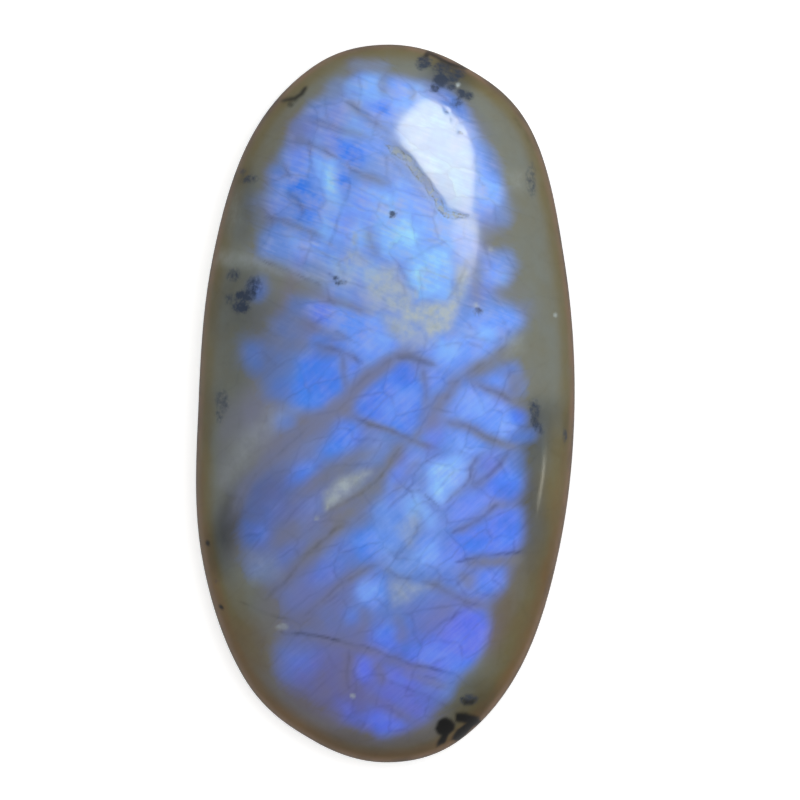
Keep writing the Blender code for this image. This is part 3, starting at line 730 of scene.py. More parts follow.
# Fractures inside the stone. Healed cleavage planes cross the sheen as grey-brown veils, and
# fresh ones as hairlines. They fall to the right at the upper end and rise to the right lower down.
VEIL_ENDS = 0.25
VEIL_PASSES = 3
VEILS = (
    # strength, half width, points
    # the long one that rises from the lower left to the middle
    (0.78, 0.34, ((1.9, 3.2), (1.1, 2.8), (0.4, 2.3), (-0.9, 1.35), (-2.2, 0.2), (-3.0, -0.4),
                  (-3.8, -1.1), (-4.6, -1.7), (-5.4, -2.4))),
    (0.85, 0.36, ((-3.0, -0.4), (-4.6, -1.7), (-5.6, -2.6), (-6.3, -3.4), (-6.9, -4.3), (-7.5, -5.3),
                  (-8.2, -6.5))),
    # those that fall to the right above the middle
    (0.60, 0.22, ((-7.4, 7.4), (-5.8, 6.8), (-4.6, 6.25), (-3.6, 5.85), (-2.4, 5.4))),
    (0.65, 0.38, ((-6.4, 6.2), (-5.0, 5.8), (-3.9, 5.6), (-2.6, 5.3))),
    (0.75, 0.26, ((-4.4, 5.6), (-3.2, 5.3), (-2.2, 5.0), (-1.2, 4.6), (-0.3, 4.2))),
    (0.65, 0.30, ((-4.9, 4.3), (-3.9, 4.0), (-3.0, 3.6), (-2.2, 3.25), (-1.5, 2.8))),
    (0.60, 0.24, ((-3.8, 3.3), (-3.0, 2.75), (-2.0, 2.35), (-1.0, 1.8))),
    (0.65, 0.22, ((-2.3, 2.6), (-2.1, 1.8), (-2.0, 1.2), (-1.9, 0.4))),
    # the pair in the lower left, with a pale brown band between them
    (0.90, 0.26, ((1.3, -1.4), (0.9, -2.0), (0.1, -3.2), (-0.6, -3.95), (-1.5, -4.6), (-2.6, -5.2),
                  (-3.7, -6.0))),
    (0.75, 0.55, ((0.3, -3.0), (-0.8, -4.5), (-1.8, -5.4), (-2.8, -6.0), (-3.6, -6.6))),
    (0.90, 0.30, ((-0.9, -5.2), (-2.2, -6.1), (-3.1, -6.7), (-4.0, -7.6), (-5.0, -8.8), (-6.3, -10.1))),
    (0.55, 0.42, ((0.2, -2.0), (-1.0, -2.5), (-2.2, -3.2), (-3.4, -3.9), (-4.4, -4.7), (-5.0, -5.6))),
    (0.60, 0.50, ((-4.0, -6.0), (-5.0, -6.4), (-5.8, -7.4))),
    (0.75, 0.24, ((0.2, -7.9), (-0.6, -8.1), (-1.4, -8.5), (-2.2, -9.1), (-3.0, -9.7), (-4.4, -10.7))),
    (0.65, 0.50, ((1.2, -1.8), (-0.6, -4.1), (-2.2, -6.0), (-4.0, -7.8), (-6.0, -9.4))),
    # round the plates right of the middle
    (0.50, 0.30, ((2.8, 0.2), (2.4, -0.8), (2.0, -1.4))),
    (0.95, 0.46, ((3.9, 1.5), (3.3, 0.8), (2.8, 0.2), (2.4, -0.4), (2.1, -1.0))),
    (0.85, 0.28, ((2.8, 0.2), (2.2, -0.8), (1.6, -1.6), (1.1, -2.2))),
    (0.75, 0.36, ((6.5, 3.2), (5.9, 2.6), (5.3, 2.2), (4.5, 1.75), (3.6, 1.4))),
    (0.75, 0.24, ((3.8, 1.4), (4.8, 0.9), (5.6, 0.5), (6.5, 0.1), (7.3, -0.3))),
    (0.60, 0.34, ((6.3, 1.8), (6.4, 1.0), (6.8, 0.4))),
    (0.70, 0.22, ((0.3, 2.4), (1.2, 2.5), (2.0, 2.2), (2.8, 1.8))),
    (0.65, 0.26, ((1.8, 2.2), (2.0, 1.2), (2.0, 0.4), (1.9, -0.4), (1.5, -1.5))),
    (0.85, 0.17, ((-1.9, -0.5), (-0.9, -0.9), (0.2, -1.35), (1.0, -1.75), (2.0, -2.1), (3.1, -2.4))),
    (0.90, 0.24, ((2.3, -0.6), (3.3, -0.95), (4.5, -1.35), (5.4, -1.8), (6.2, -2.05), (7.2, -2.3))),
    (0.50, 0.20, ((6.3, -2.1), (5.6, -3.2), (4.8, -3.9), (3.8, -4.4))),
    (0.50, 0.20, ((5.0, -2.2), (4.3, -3.0), (4.2, -3.7), (3.4, -4.5), (2.7, -5.2))),
    (0.45, 0.26, ((2.0, -2.6), (1.3, -3.2), (0.8, -4.0), (0.2, -4.6))),
    (0.50, 0.30, ((6.9, -4.9), (5.6, -5.0), (4.6, -5.7), (3.8, -6.2), (2.9, -6.5))),
    (0.75, 0.32, ((7.2, -7.6), (5.8, -7.85), (4.6, -7.9), (3.6, -8.1))),
    # the lower end
    (0.60, 0.24, ((-0.2, -8.1), (0.7, -8.6), (1.6, -8.7))),
    (0.80, 0.30, ((1.4, -8.65), (2.5, -9.0), (3.4, -9.5), (4.3, -9.9), (5.6, -10.3))),
    (0.45, 0.55, ((3.6, -9.7), (2.8, -10.2), (2.0, -10.9), (1.4, -11.5))),
    (0.55, 0.30, ((0.3, -10.2), (1.0, -11.2), (0.6, -12.1))),
    (0.60, 0.35, ((3.6, -8.4), (4.2, -8.9), (4.0, -9.4))),
    (0.75, 0.26, ((-4.9, -11.35), (-3.2, -11.7), (-1.6, -12.1), (-0.2, -12.5), (1.2, -13.1),
                  (3.2, -13.65))),
    (0.55, 0.24, ((0.2, -13.1), (1.4, -13.6), (2.6, -14.0), (3.6, -14.3))),
    (0.60, 0.32, ((-1.8, -12.0), (-1.9, -13.0), (-2.1, -13.9), (-1.7, -14.7))),
    (0.60, 0.24, ((-0.5, -12.5), (-0.3, -13.3), (0.0, -14.3))),
    (0.55, 0.30, ((-1.2, -14.4), (-0.2, -14.9), (0.8, -15.5), (1.8, -16.0))),
    (0.45, 0.35, ((-3.0, -13.0), (-3.2, -14.0), (-2.8, -14.9))),
    # the upper end
    (0.60, 0.34, ((-0.6, 13.6), (0.4, 12.9), (1.3, 11.8), (2.0, 10.9), (2.7, 9.9))),
    (0.50, 0.20, ((-4.7, 13.3), (-3.9, 13.0), (-3.0, 12.6), (-2.4, 12.1))),
    (0.60, 0.22, ((-1.9, 11.8), (-1.2, 11.4), (-0.5, 11.15), (0.5, 10.8))),
    (0.45, 0.20, ((-4.4, 14.4), (-3.2, 14.0), (-2.2, 13.6), (-1.2, 13.3), (-0.3, 12.9))),
    (0.50, 0.24, ((-2.2, 15.4), (-1.4, 14.6), (-0.8, 14.1), (0.0, 13.6), (0.8, 13.0))),
    (0.55, 0.20, ((-6.4, 9.3), (-5.3, 9.1), (-4.4, 8.8), (-3.7, 8.5), (-2.7, 8.0))),
    (0.40, 0.22, ((-5.6, 12.4), (-5.0, 11.8), (-4.7, 11.2))),
    (0.45, 0.20, ((-5.2, 10.8), (-4.5, 10.3), (-4.0, 9.7), (-4.1, 9.0))),
    (0.45, 0.18, ((-0.1, 16.6), (-0.1, 15.3))),
    (0.40, 0.18, ((1.3, 16.1), (1.3, 15.0))),
    (0.45, 0.30, ((-0.9, 8.8), (-0.7, 8.0), (-0.2, 7.2))),
    (0.50, 0.22, ((4.3, 7.4), (4.0, 6.5), (3.5, 5.7), (3.0, 5.2))),
    (0.55, 0.40, ((4.5, 8.7), (5.4, 8.4), (6.6, 8.6))),
    (0.55, 0.40, ((4.6, 7.8), (4.6, 6.6), (4.5, 5.6), (4.6, 4.6))),
    (0.50, 0.35, ((5.0, 5.6), (6.2, 5.4), (7.4, 5.9))),
)
HAIRLINES = (
    # strength, half width, points
    # the upper end
    (0.44, 0.09, ((-4.7, 13.3), (-3.9, 13.0), (-3.0, 12.6), (-2.4, 12.1), (-1.9, 11.8), (-1.2, 11.5),
                  (-0.6, 11.2), (0.5, 10.8))),
    (0.36, 0.08, ((-3.6, 14.3), (-2.4, 13.8), (-1.4, 13.4), (-0.2, 12.9))),
    (0.32, 0.08, ((-2.7, 13.4), (-1.9, 13.1), (-1.0, 12.9))),
    (0.36, 0.10, ((-2.0, 15.2), (-1.4, 14.6), (-0.8, 14.1), (0.0, 13.6), (0.6, 13.1))),
    (0.28, 0.07, ((-0.9, 13.8), (-0.4, 13.5), (0.2, 13.0))),
    (0.36, 0.07, ((-1.3, 16.6), (-1.25, 15.6), (-1.25, 14.6))),
    (0.28, 0.08, ((-3.0, 15.4), (-2.9, 14.4), (-2.7, 13.6))),
    (0.44, 0.09, ((-3.75, 13.4), (-3.7, 12.2), (-3.85, 11.2))),
    (0.24, 0.08, ((-3.1, 12.2), (-3.2, 11.2), (-3.3, 10.6))),
    (0.48, 0.09, ((-1.6, 11.3), (-1.9, 10.4), (-2.3, 9.3), (-2.6, 8.4), (-2.9, 7.5))),
    (0.48, 0.10, ((-6.2, 9.3), (-5.3, 9.1), (-4.4, 8.8), (-3.7, 8.5), (-2.9, 8.1))),
    (0.32, 0.08, ((-4.0, 9.1), (-3.3, 8.85), (-2.6, 8.6))),
    (0.32, 0.08, ((-4.4, 8.3), (-3.6, 8.1), (-2.5, 7.7))),
    (0.32, 0.08, ((-4.6, 7.7), (-3.6, 7.5), (-2.6, 7.2), (-2.0, 6.9))),
    (0.36, 0.09, ((-5.2, 12.1), (-4.8, 11.6), (-4.6, 11.2))),
    (0.44, 0.09, ((-4.9, 10.6), (-4.3, 10.2), (-4.0, 9.6), (-4.2, 9.0))),
    (0.36, 0.08, ((0.2, 11.1), (0.3, 10.4), (0.3, 9.7))),
    (0.40, 0.07, ((4.6, 11.3), (4.8, 11.0), (5.05, 10.8))),
    (0.28, 0.07, ((4.4, 12.2), (4.6, 11.6), (4.8, 11.3))),
    (0.34, 0.07, ((-0.5, 12.75), (0.3, 12.1), (0.9, 11.4), (1.6, 10.7), (2.2, 10.0), (2.7, 9.3),
                  (2.95, 9.0))),
    (0.45, 0.06, ((-0.9, 13.4), (-0.3, 13.25), (0.3, 12.9))),
    (0.48, 0.07, ((2.2, 15.9), (2.9, 15.3), (3.5, 14.7), (3.9, 14.1))),
    # the middle
    (0.60, 0.08, ((-6.6, 7.2), (-5.2, 6.7), (-4.2, 6.3), (-3.0, 5.8))),
    (0.40, 0.08, ((-3.3, 7.4), (-2.5, 7.0), (-2.1, 6.7), (-1.9, 6.2))),
    (0.48, 0.08, ((-2.9, 6.5), (-2.5, 6.2), (-2.1, 5.9))),
    (0.32, 0.10, ((-3.0, 5.25), (-2.0, 4.9), (-1.0, 4.55))),
    (0.28, 0.09, ((-0.8, 8.6), (-0.6, 8.0), (-0.3, 7.4), (0.3, 7.0))),
    (0.48, 0.09, ((0.8, 7.0), (1.6, 7.3), (2.4, 7.8), (3.2, 8.0))),
    (0.40, 0.09, ((0.5, 7.0), (0.9, 6.4), (1.2, 5.7), (1.8, 5.1), (2.8, 5.0))),
    (0.40, 0.08, ((2.9, 5.0), (3.5, 5.7), (3.9, 6.5), (4.2, 7.2))),
    (0.56, 0.10, ((-3.7, 3.2), (-3.0, 2.8), (-2.2, 2.5), (-1.6, 2.2), (-0.9, 1.8))),
    (0.48, 0.07, ((-2.6, 3.6), (-2.1, 3.3), (-1.6, 3.0), (-1.2, 2.8))),
    (0.48, 0.12, ((-2.3, 2.5), (-2.1, 1.8), (-2.0, 1.2), (-1.9, 0.7))),
    (0.28, 0.10, ((0.9, 2.6), (0.1, 2.05), (-0.9, 1.3), (-1.8, 0.5))),
    (0.56, 0.14, ((0.4, 2.3), (1.2, 2.4), (2.0, 2.1), (2.6, 1.9))),
    (0.28, 0.10, ((1.9, 1.8), (2.0, 0.8), (2.0, 0.0))),
    (0.40, 0.11, ((5.2, 2.1), (4.4, 1.7), (3.7, 1.3), (3.3, 0.7), (2.9, 0.1))),
    (0.40, 0.09, ((4.6, 1.0), (5.4, 0.6), (6.4, 0.1))),
    (0.32, 0.08, ((3.7, 3.3), (4.6, 3.25), (5.4, 3.1), (6.0, 3.4))),
    (0.32, 0.08, ((6.1, 3.8), (6.0, 3.0), (5.6, 2.5))),
    (0.60, 0.09, ((-1.8, -0.55), (-0.9, -0.95), (0.1, -1.3), (1.0, -1.7), (2.0, -2.1), (2.9, -2.3))),
    (0.38, 0.09, ((2.8, -0.85), (3.6, -1.0), (4.5, -1.3), (5.2, -1.7), (6.2, -2.0))),
    (0.44, 0.07, ((6.9, -1.0), (6.5, -1.4), (6.1, -1.9))),
    (0.36, 0.05, ((5.1, -1.45), (5.6, -1.35), (6.3, -1.4))),
    # the lower half
    (0.44, 0.06, ((3.5, -1.5), (3.4, -1.9), (3.1, -2.3), (2.6, -2.5), (2.1, -2.9), (1.5, -3.3))),
    (0.24, 0.07, ((3.5, -2.3), (4.0, -2.4), (4.4, -2.6))),
    (0.64, 0.08, ((5.0, -2.2), (4.5, -2.7), (4.25, -3.1), (4.2, -3.7), (3.5, -4.4), (2.8, -5.1))),
    (0.48, 0.11, ((6.2, -2.2), (5.8, -2.9), (5.2, -3.5), (4.6, -3.9), (4.0, -4.1))),
    (0.48, 0.07, ((2.1, -3.0), (1.5, -3.5), (1.4, -4.0), (0.9, -4.5))),
    (0.48, 0.08, ((1.9, -4.4), (1.2, -4.4), (0.6, -4.8), (0.0, -5.3))),
    (0.56, 0.08, ((1.9, -4.5), (2.3, -4.8), (2.7, -5.2))),
    (0.64, 0.09, ((5.8, -4.9), (5.3, -5.3), (4.6, -5.8), (3.8, -6.2), (3.0, -6.5))),
    (0.76, 0.08, ((7.0, -7.3), (6.0, -7.45), (5.0, -7.6), (4.2, -7.75), (3.4, -7.9))),
    (0.48, 0.09, ((1.5, -5.8), (1.6, -6.4), (1.1, -7.1), (0.5, -7.8))),
    (0.40, 0.08, ((1.1, -5.3), (1.6, -5.4), (1.9, -5.9))),
    (0.48, 0.08, ((0.0, -8.1), (0.7, -8.55), (1.6, -8.6), (2.1, -8.3))),
    (0.44, 0.09, ((1.6, -8.7), (2.5, -9.0), (3.4, -9.5), (4.2, -9.9), (5.0, -10.1))),
    (0.36, 0.08, ((4.7, -8.1), (4.1, -8.6), (3.4, -9.2))),
    (0.32, 0.08, ((4.4, -9.3), (5.0, -9.5), (5.6, -9.6))),
    (0.36, 0.09, ((3.9, -10.2), (3.0, -10.7), (2.2, -11.3), (1.7, -12.0))),
    (0.48, 0.08, ((0.9, -2.0), (0.1, -3.2), (-0.6, -3.95), (-1.5, -4.6), (-2.6, -5.2), (-3.5, -5.8))),
    (0.44, 0.11, ((-1.3, -5.9), (-2.4, -6.2), (-3.2, -6.8), (-4.0, -7.6), (-5.0, -8.8), (-6.1, -9.9))),
    (0.28, 0.10, ((-3.6, -0.9), (-4.6, -1.75), (-5.6, -2.7), (-6.4, -3.6), (-7.2, -4.9), (-8.2, -6.6))),
    (0.36, 0.09, ((0.0, -8.0), (-0.9, -8.2), (-1.6, -8.7), (-2.4, -9.2), (-3.2, -9.8), (-4.2, -10.6))),
    (0.28, 0.08, ((-2.2, -9.4), (-3.0, -9.9), (-3.8, -10.5))),
    (0.40, 0.07, ((-7.4, -9.8), (-6.3, -10.2), (-5.4, -10.6), (-4.6, -10.8))),
    (0.80, 0.08, ((-5.4, -11.35), (-4.4, -11.4), (-3.6, -11.5), (-2.7, -11.7), (-1.6, -12.0))),
    (0.64, 0.08, ((-2.7, -11.7), (-1.6, -12.0), (-0.6, -12.25), (0.5, -12.65), (1.6, -13.1), (2.8, -13.4),
                  (3.9, -13.6))),
    (0.52, 0.08, ((0.0, -13.8), (0.8, -14.1), (1.8, -14.5), (2.6, -14.9), (3.3, -15.2))),
    (0.40, 0.06, ((1.8, -13.6), (2.8, -13.85), (3.6, -14.0))),
    (0.32, 0.06, ((1.8, -13.95), (2.7, -14.2), (3.5, -14.35))),
    (0.32, 0.09, ((-1.8, -12.1), (-1.9, -13.0), (-2.0, -13.8), (-1.8, -14.4))),
    (0.28, 0.08, ((2.1, -13.2), (2.6, -12.9), (3.1, -12.6))),
    (0.24, 0.08, ((-0.2, -15.1), (0.6, -15.4), (1.3, -15.9))),
    # under the girdle's edge
    (0.40, 0.10, ((6.3, 14.5), (7.0, 13.5), (7.6, 12.6), (8.0, 11.8))),
)
veil = strongest(line_mark(points, half_width, VEIL_ENDS) * strength
                 for strength, half_width, points in VEILS)
hairline = strongest(line_mark(points, half_width) * strength
                     for strength, half_width, points in HAIRLINES)
store_mark("veil", softened(veil, VEIL_PASSES) * on_crown)
store_mark("hairline", hairline * on_crown)


# Feathers. Where a fracture has let in air it breaks up into small flakes, which look cream or
# pale green against the sheen.
FEATHERS = (
    # strength, softness, corners
    (0.95, 0.35, ((0.3, 5.3), (1.4, 4.9), (3.1, 5.0), (3.6, 5.8), (4.0, 5.8), (3.5, 4.6), (3.2, 3.6),
                  (2.2, 3.3), (1.6, 3.9), (0.8, 4.0))),
    (0.75, 0.40, ((-1.0, 6.6), (0.4, 6.8), (0.9, 5.8), (1.4, 5.0), (0.4, 4.4), (-0.8, 5.2))),
    (0.70, 0.40, ((-0.2, 4.4), (1.2, 4.2), (1.8, 3.4), (0.9, 3.0), (0.1, 3.6))),
    (0.75, 0.30, ((-2.9, -4.5), (-2.2, -3.7), (-1.2, -3.3), (-0.8, -3.4), (-1.4, -4.1), (-2.3, -4.9),
                  (-2.9, -5.2))),
    (0.45, 0.30, ((-1.8, 7.7), (-1.2, 7.6), (-0.6, 7.0), (-0.9, 6.5), (-1.7, 6.9))),
    (0.48, 0.35, ((0.2, -8.8), (1.2, -8.8), (2.2, -9.1), (1.2, -9.7), (0.4, -10.0))),
    (0.40, 0.35, ((0.6, -6.2), (1.6, -5.2), (1.9, -6.1), (1.2, -7.2))),
    (0.25, 0.40, ((5.9, 3.4), (6.9, 3.3), (6.9, 2.6), (6.1, 2.4))),
    (0.25, 0.40, ((5.9, 11.6), (6.9, 11.5), (6.8, 10.6), (6.1, 10.7))),
    (0.35, 0.25, ((3.1, 9.6), (4.6, 9.3), (4.7, 8.5), (4.2, 8.5), (3.4, 9.0))),
    (0.60, 0.20, ((3.6, 6.9), (4.2, 6.7), (4.2, 6.0), (3.8, 5.6), (3.5, 6.0))),
    (0.42, 0.35, ((0.8, 3.9), (2.4, 4.0), (2.6, 3.1), (1.4, 2.8))),
    (0.42, 0.35, ((-1.2, 5.6), (0.2, 5.6), (0.2, 4.6), (-0.8, 4.5))),
    (0.45, 0.35, ((-2.6, 6.9), (-1.4, 6.9), (-1.4, 5.8), (-2.4, 5.7))),
    (0.30, 0.40, ((-8.7, 7.8), (-7.0, 7.5), (-5.0, 6.9), (-3.0, 6.3), (-2.6, 5.8), (-5.0, 6.4),
                  (-8.7, 7.0))),
    (0.22, 0.50, ((-8.0, 10.6), (-7.2, 10.8), (-7.0, 9.0), (-7.8, 8.4))),
    (0.26, 0.60, ((-4.4, -0.3), (-5.8, -1.6), (-7.6, -4.2), (-8.2, -4.0), (-7.2, -1.6), (-5.8, -0.2))),
    (0.25, 0.50, ((-6.8, -7.4), (-5.6, -7.6), (-5.2, -8.6), (-6.6, -9.0))),
)
PALE_SPECKS = (
    # strength, x, y, across, along, turn
    (0.9, -2.8, -5.1, 0.12, 0.12, 0), (0.6, -2.5, -4.5, 0.10, 0.16, 40), (0.8, 8.5, 4.4, 0.10, 0.08, 0),
    (0.7, 4.5, 4.9, 0.14, 0.10, 0), (0.6, -1.7, -14.5, 0.12, 0.10, 0), (0.8, 3.65, 15.9, 0.10, 0.14, -30),
    (0.6, -1.65, 7.2, 0.12, 0.35, 20), (0.6, -1.85, 6.9, 0.10, 0.30, 10), (0.6, -1.5, 8.1, 0.15, 0.25, 10),
    (0.5, 1.4, 5.4, 0.12, 0.35, 15), (0.7, 3.7, 5.6, 0.12, 0.40, -15), (0.6, 3.3, 4.5, 0.14, 0.6, -10),
    (0.6, -0.1, 5.6, 0.12, 0.4, 50), (0.6, 0.5, 5.2, 0.10, 0.4, 60), (0.5, 5.3, 7.7, 0.14, 0.10, 0),
    (0.45, -3.4, -5.7, 0.12, 0.10, 0), (0.45, -5.1, -11.1, 0.30, 0.14, 0),
)
feather = strongest(patch_mark(corners, softness) * strength for strength, softness, corners in FEATHERS)
specks = strongest(spot_mark(*oval) * strength for strength, *oval in PALE_SPECKS)
store_mark("feather", np.maximum(feather, specks) * on_crown)


# Inclusions. Needles and grains of black tourmaline lie under the surface, bluish where they
# are deep and black where the girdle cuts them.
GRAIN_SOFTNESS = 0.55
DEEP_GRAINS = (
    # strength, x, y, across, along, turn
    (0.75, 1.9, 17.1, 0.38, 0.32, 0), (0.55, 2.9, 16.9, 0.55, 0.35, 30),
    (0.90, 2.75, 16.2, 0.36, 0.34, 20), (0.70, 2.45, 15.8, 0.24, 0.20, 0),
    (0.55, 3.5, 16.4, 0.55, 0.35, 30), (0.85, 3.85, 15.45, 0.24, 0.22, 0),
    (0.80, 4.2, 15.35, 0.20, 0.26, 0), (0.60, 3.3, 15.8, 0.22, 0.16, 0), (0.45, 3.6, 15.0, 0.35, 0.25, 40),
    (0.85, 0.3, 9.4, 0.17, 0.17, 0), (0.80, -6.9, 5.4, 0.55, 0.32, 10), (0.75, -7.1, 4.8, 0.42, 0.28, 0),
    (0.55, -6.5, 5.9, 0.35, 0.35, 0), (0.50, -7.6, 6.4, 0.30, 0.30, 0), (0.40, -7.7, 5.2, 0.25, 0.2, 0),
    (0.45, -6.8, 11.2, 0.45, 0.18, 0), (0.40, -7.2, 11.6, 0.20, 0.16, 0),
    (0.65, 7.5, -0.9, 0.50, 0.14, -70), (0.55, 7.7, -1.15, 0.35, 0.14, -60),
    (0.45, 7.5, -0.3, 0.25, 0.5, 10), (0.45, 9.0, -1.6, 0.12, 0.35, 0), (0.40, 4.6, 4.55, 0.22, 0.20, 0),
    (0.50, 4.2, -14.75, 0.40, 0.22, 0), (0.35, -8.1, 0.1, 0.30, 0.5, 0), (0.35, -8.4, -8.9, 0.14, 0.12, 0),
    (0.30, 7.3, 11.1, 0.25, 0.75, 0), (0.30, -8.3, -0.6, 0.2, 0.3, 0), (0.40, 3.1, 14.45, 0.10, 0.08, 0),
    (0.40, 3.75, 13.45, 0.14, 0.08, -20), (0.50, -2.15, 5.95, 0.25, 0.12, 0),
    (0.45, -2.4, 6.2, 0.14, 0.14, 0),
)
BLACK_GRAINS = (
    # strength, softness, corners
    (1.0, 0.10, ((2.5, -16.2), (2.7, -15.75), (3.1, -15.6), (3.5, -15.9), (3.45, -16.35), (3.2, -16.55),
                 (3.0, -17.0), (2.6, -17.1), (2.75, -16.6))),
    (1.0, 0.09, ((3.35, -16.85), (3.6, -16.3), (4.05, -15.95), (3.5, -15.75), (3.5, -15.4), (4.0, -15.35),
                 (4.6, -15.6), (4.7, -15.85), (4.1, -16.6), (3.7, -17.0))),
    (0.8, 0.10, ((3.8, -14.65), (4.2, -14.8), (4.6, -14.75), (4.4, -15.0), (3.95, -15.0))),
)
BLACK_LINES = (
    # strength, half width, points
    (0.85, 0.11, ((-5.3, 15.05), (-4.9, 15.15), (-4.5, 15.2), (-4.2, 15.45), (-3.95, 15.9))),
    (0.80, 0.12, ((2.0, 17.6), (2.4, 17.45), (3.0, 17.15), (3.6, 16.9), (4.2, 16.7))),
    (0.85, 0.10, ((-7.85, 10.9), (-7.7, 11.2), (-7.55, 11.6))),
    (0.30, 0.10, ((6.3, 14.8), (6.9, 14.2), (7.4, 13.5), (7.8, 12.6), (8.0, 12.0))),
)
BLACK_DOTS = (
    # strength, x, y, across, along, turn
    (1.0, -8.9, -7.0, 0.13, 0.13, 0), (1.0, -8.2, -10.2, 0.12, 0.12, 0),
    (0.6, -4.75, 14.95, 0.15, 0.12, 0), (0.8, 2.1, 17.5, 0.22, 0.16, 30),
)
deep_grain = strongest(spot_mark(*oval, softness=GRAIN_SOFTNESS) * strength
                       for strength, *oval in DEEP_GRAINS)
store_mark("deep_grain", deep_grain * on_crown)
black_grain = strongest((
    *(patch_mark(corners, softness) * strength for strength, softness, corners in BLACK_GRAINS),
    *(line_mark(points, half_width) * strength for strength, half_width, points in BLACK_LINES),
    *(spot_mark(*oval) * strength for strength, *oval in BLACK_DOTS)))
store_mark("black_grain", black_grain * on_crown)


# The open fracture. One crack breaks the polished surface, from the upper middle down to the
# right. Its lips are chipped, so it is dull and catches the light in crumbs. Small pits lie beside
# it and over some grains.
FRACTURE_LINE = (
    (-0.1, 12.85), (0.5, 12.55), (1.05, 12.1), (1.65, 11.3), (2.3, 10.5), (2.65, 10.0), (2.95, 9.5),
    (3.5, 9.33), (4.2, 9.2),
)
FRACTURE_REACH = 0.6
FRACTURE_HALF_WIDTH = 0.18
CHIPPED_AWAY, CHIPPED_FULL = 0.10, -0.05
# Shares of its length: where it has opened fully, where it starts to close and where it is closed
FULLY_OPEN = 0.12
CLOSES_FROM, CLOSED_AT = 0.84, 1.04
SURFACE_PITS = (
    # x, y, size
    (3.1, 14.5, 0.12), (3.75, 13.45, 0.14), (3.4, 14.0, 0.07), (3.0, 14.65, 0.06), (8.5, 4.4, 0.08),
    (-2.8, -5.1, 0.08), (3.65, 15.9, 0.08), (-2.2, 5.95, 0.08),
)
PIT_SOFTNESS = 0.8
OPEN_DEPTH = 0.006
PIT_DEPTH = 0.012
away, along, side = along_line(FRACTURE_LINE)
across_fracture = np.clip(away * side, -FRACTURE_REACH, FRACTURE_REACH)
still_open = ease(rising(along, CLOSED_AT, CLOSES_FROM))
fracture_width = FRACTURE_HALF_WIDTH * ease(along / FULLY_OPEN) * still_open
opened = ease(rising(away - fracture_width, CHIPPED_AWAY, CHIPPED_FULL))
pitted = strongest(spot_mark(x, y, size, size, softness=PIT_SOFTNESS) for x, y, size in SURFACE_PITS)
store_mark("open_fracture", opened * on_crown)
store_mark("fracture_across", 0.5 + across_fracture / (2 * FRACTURE_REACH))
store_mark("fracture_width", fracture_width)
mesh_places[:, 2] -= (OPEN_DEPTH * opened**3 + PIT_DEPTH * pitted) * on_crown
formed.vertices.foreach_set("co", (mesh_places * MILLIMETRE).ravel())
formed.update()


# The girdle and the back. The ground wall is brown, most of all where it meets the crown, and
# the brown fades out a little way in over the crown: partly the feldspar's own warm colour where
# it is thin, partly a painted reflection of dark surroundings. The flat back has none. The reach
# is measured in from the edge and the foot and top up the wall, in millimetres.
BROWN_REACH, BROWN_FULL = 0.42, 0.07
BROWN_FOOT, BROWN_TOP = 0.4, 1.2
BROWN_AT_FOOT = 0.30
brown_height = BROWN_AT_FOOT + (1 - BROWN_AT_FOOT) * ease(rising(height, BROWN_FOOT, BROWN_TOP))
near_edge = ease(rising(from_edge, BROWN_REACH, BROWN_FULL))
# Brown on the girdle: partly the stone's own colour, partly a painted reflection of dark surroundings
store_mark("girdle_brown_and_reflection", near_edge * brown_height * (1 - on_back))
store_mark("back", on_back)


# The material. Rainbow moonstone is a labradorite feldspar, translucent and polished on the
# crown, so it takes a clear gloss over a soft glow from inside. The back is only ground, and
# stays satin. Its markings come from the marks above, broken up by noise at their real sizes.
FELDSPAR_IOR = 1.56
VIOLET_GREY = "#73778C"
GREY_GREEN = "#72776F"
OLIVE = "#6F6745"
BROWN = "#765A2E"
DEEP_AZURE = "#2677EC"
AZURE = "#4083EF"
PERIWINKLE = "#6D9CF5"
SKY = "#7CB3F9"
PALE_SKY = "#92D6FB"
DEEP_INDIGO = "#3450AE"
INDIGO = "#5A6CE8"
VIOLET_BLUE = "#687FEC"
LAVENDER = "#8090F2"
PALE_LAVENDER = "#A8AEEC"
MILKY_LILAC = "#A6ADD0"
MAUVE = "#75667A"
VEIL_VIOLET = "#6E789C"
VEIL_GREY = "#74766C"
HAIRLINE_SHADE = "#8E94A4"
FEATHER_CREAM = "#AAB6B8"
FEATHER_OLIVE = "#868E80"
OPEN_CRUMBS = "#8C9694"
LIP_SHADE = "#414B49"
# The colours of the darkening: partly the stone's own dark patches, partly painted shade
SLATE_DARKNESS_AND_SHADE = "#24282A"
OLIVE_DARKNESS_AND_SHADE = "#2C250C"
GRAIN_NAVY = "#1E2E48"
GRAIN_BLACK = "#040302"
# The girdle's brown and its near-black patches: partly the stone's own colour, partly a painted reflection
# of dark surroundings
GIRDLE_BROWN = "#86684C"
GIRDLE_DARK_REFLECTION = "#2C2018"
BACK_GREY = "#8A8B88"
BACK_BLUE = "#7F8BA8"
# The cleavage's direction at the lower and the upper end, in degrees, and the places up the stone
# between which one gives way to the other
CLEAVAGE_TURNS = (42, -22)
UPPER_END_FROM, UPPER_END_FULL = 2.0, 5.0
# Sizes in millimetres: streaks, the cells between cracks, their bends, and the fracture's lips
STREAK_ALONG, STREAK_ACROSS = 1.6, 0.18
CELL_ALONG, CELL_ACROSS = 2.1, 1.15
CELL_BEND = 0.672
LIP_WAVER = 0.5
LIP_HALF_WIDTH = 0.08
# Shares of a cell's size
CELL_WAVER = 0.22
CRACK_WIDTH = 0.085
# Strengths
SHEEN_SPREAD, SHEEN_FULLNESS = 0.5, 1.06
STREAKS_IN_MILK = 0.5
MAUVE_GROUND = 0.55
MAUVE_VEIL = 0.5
GRAIN_RAGGED, GRAIN_SHRUNK = 1.6, 0.82
BACK_CRACKS = 0.35
OPEN_DULLNESS = 3.0

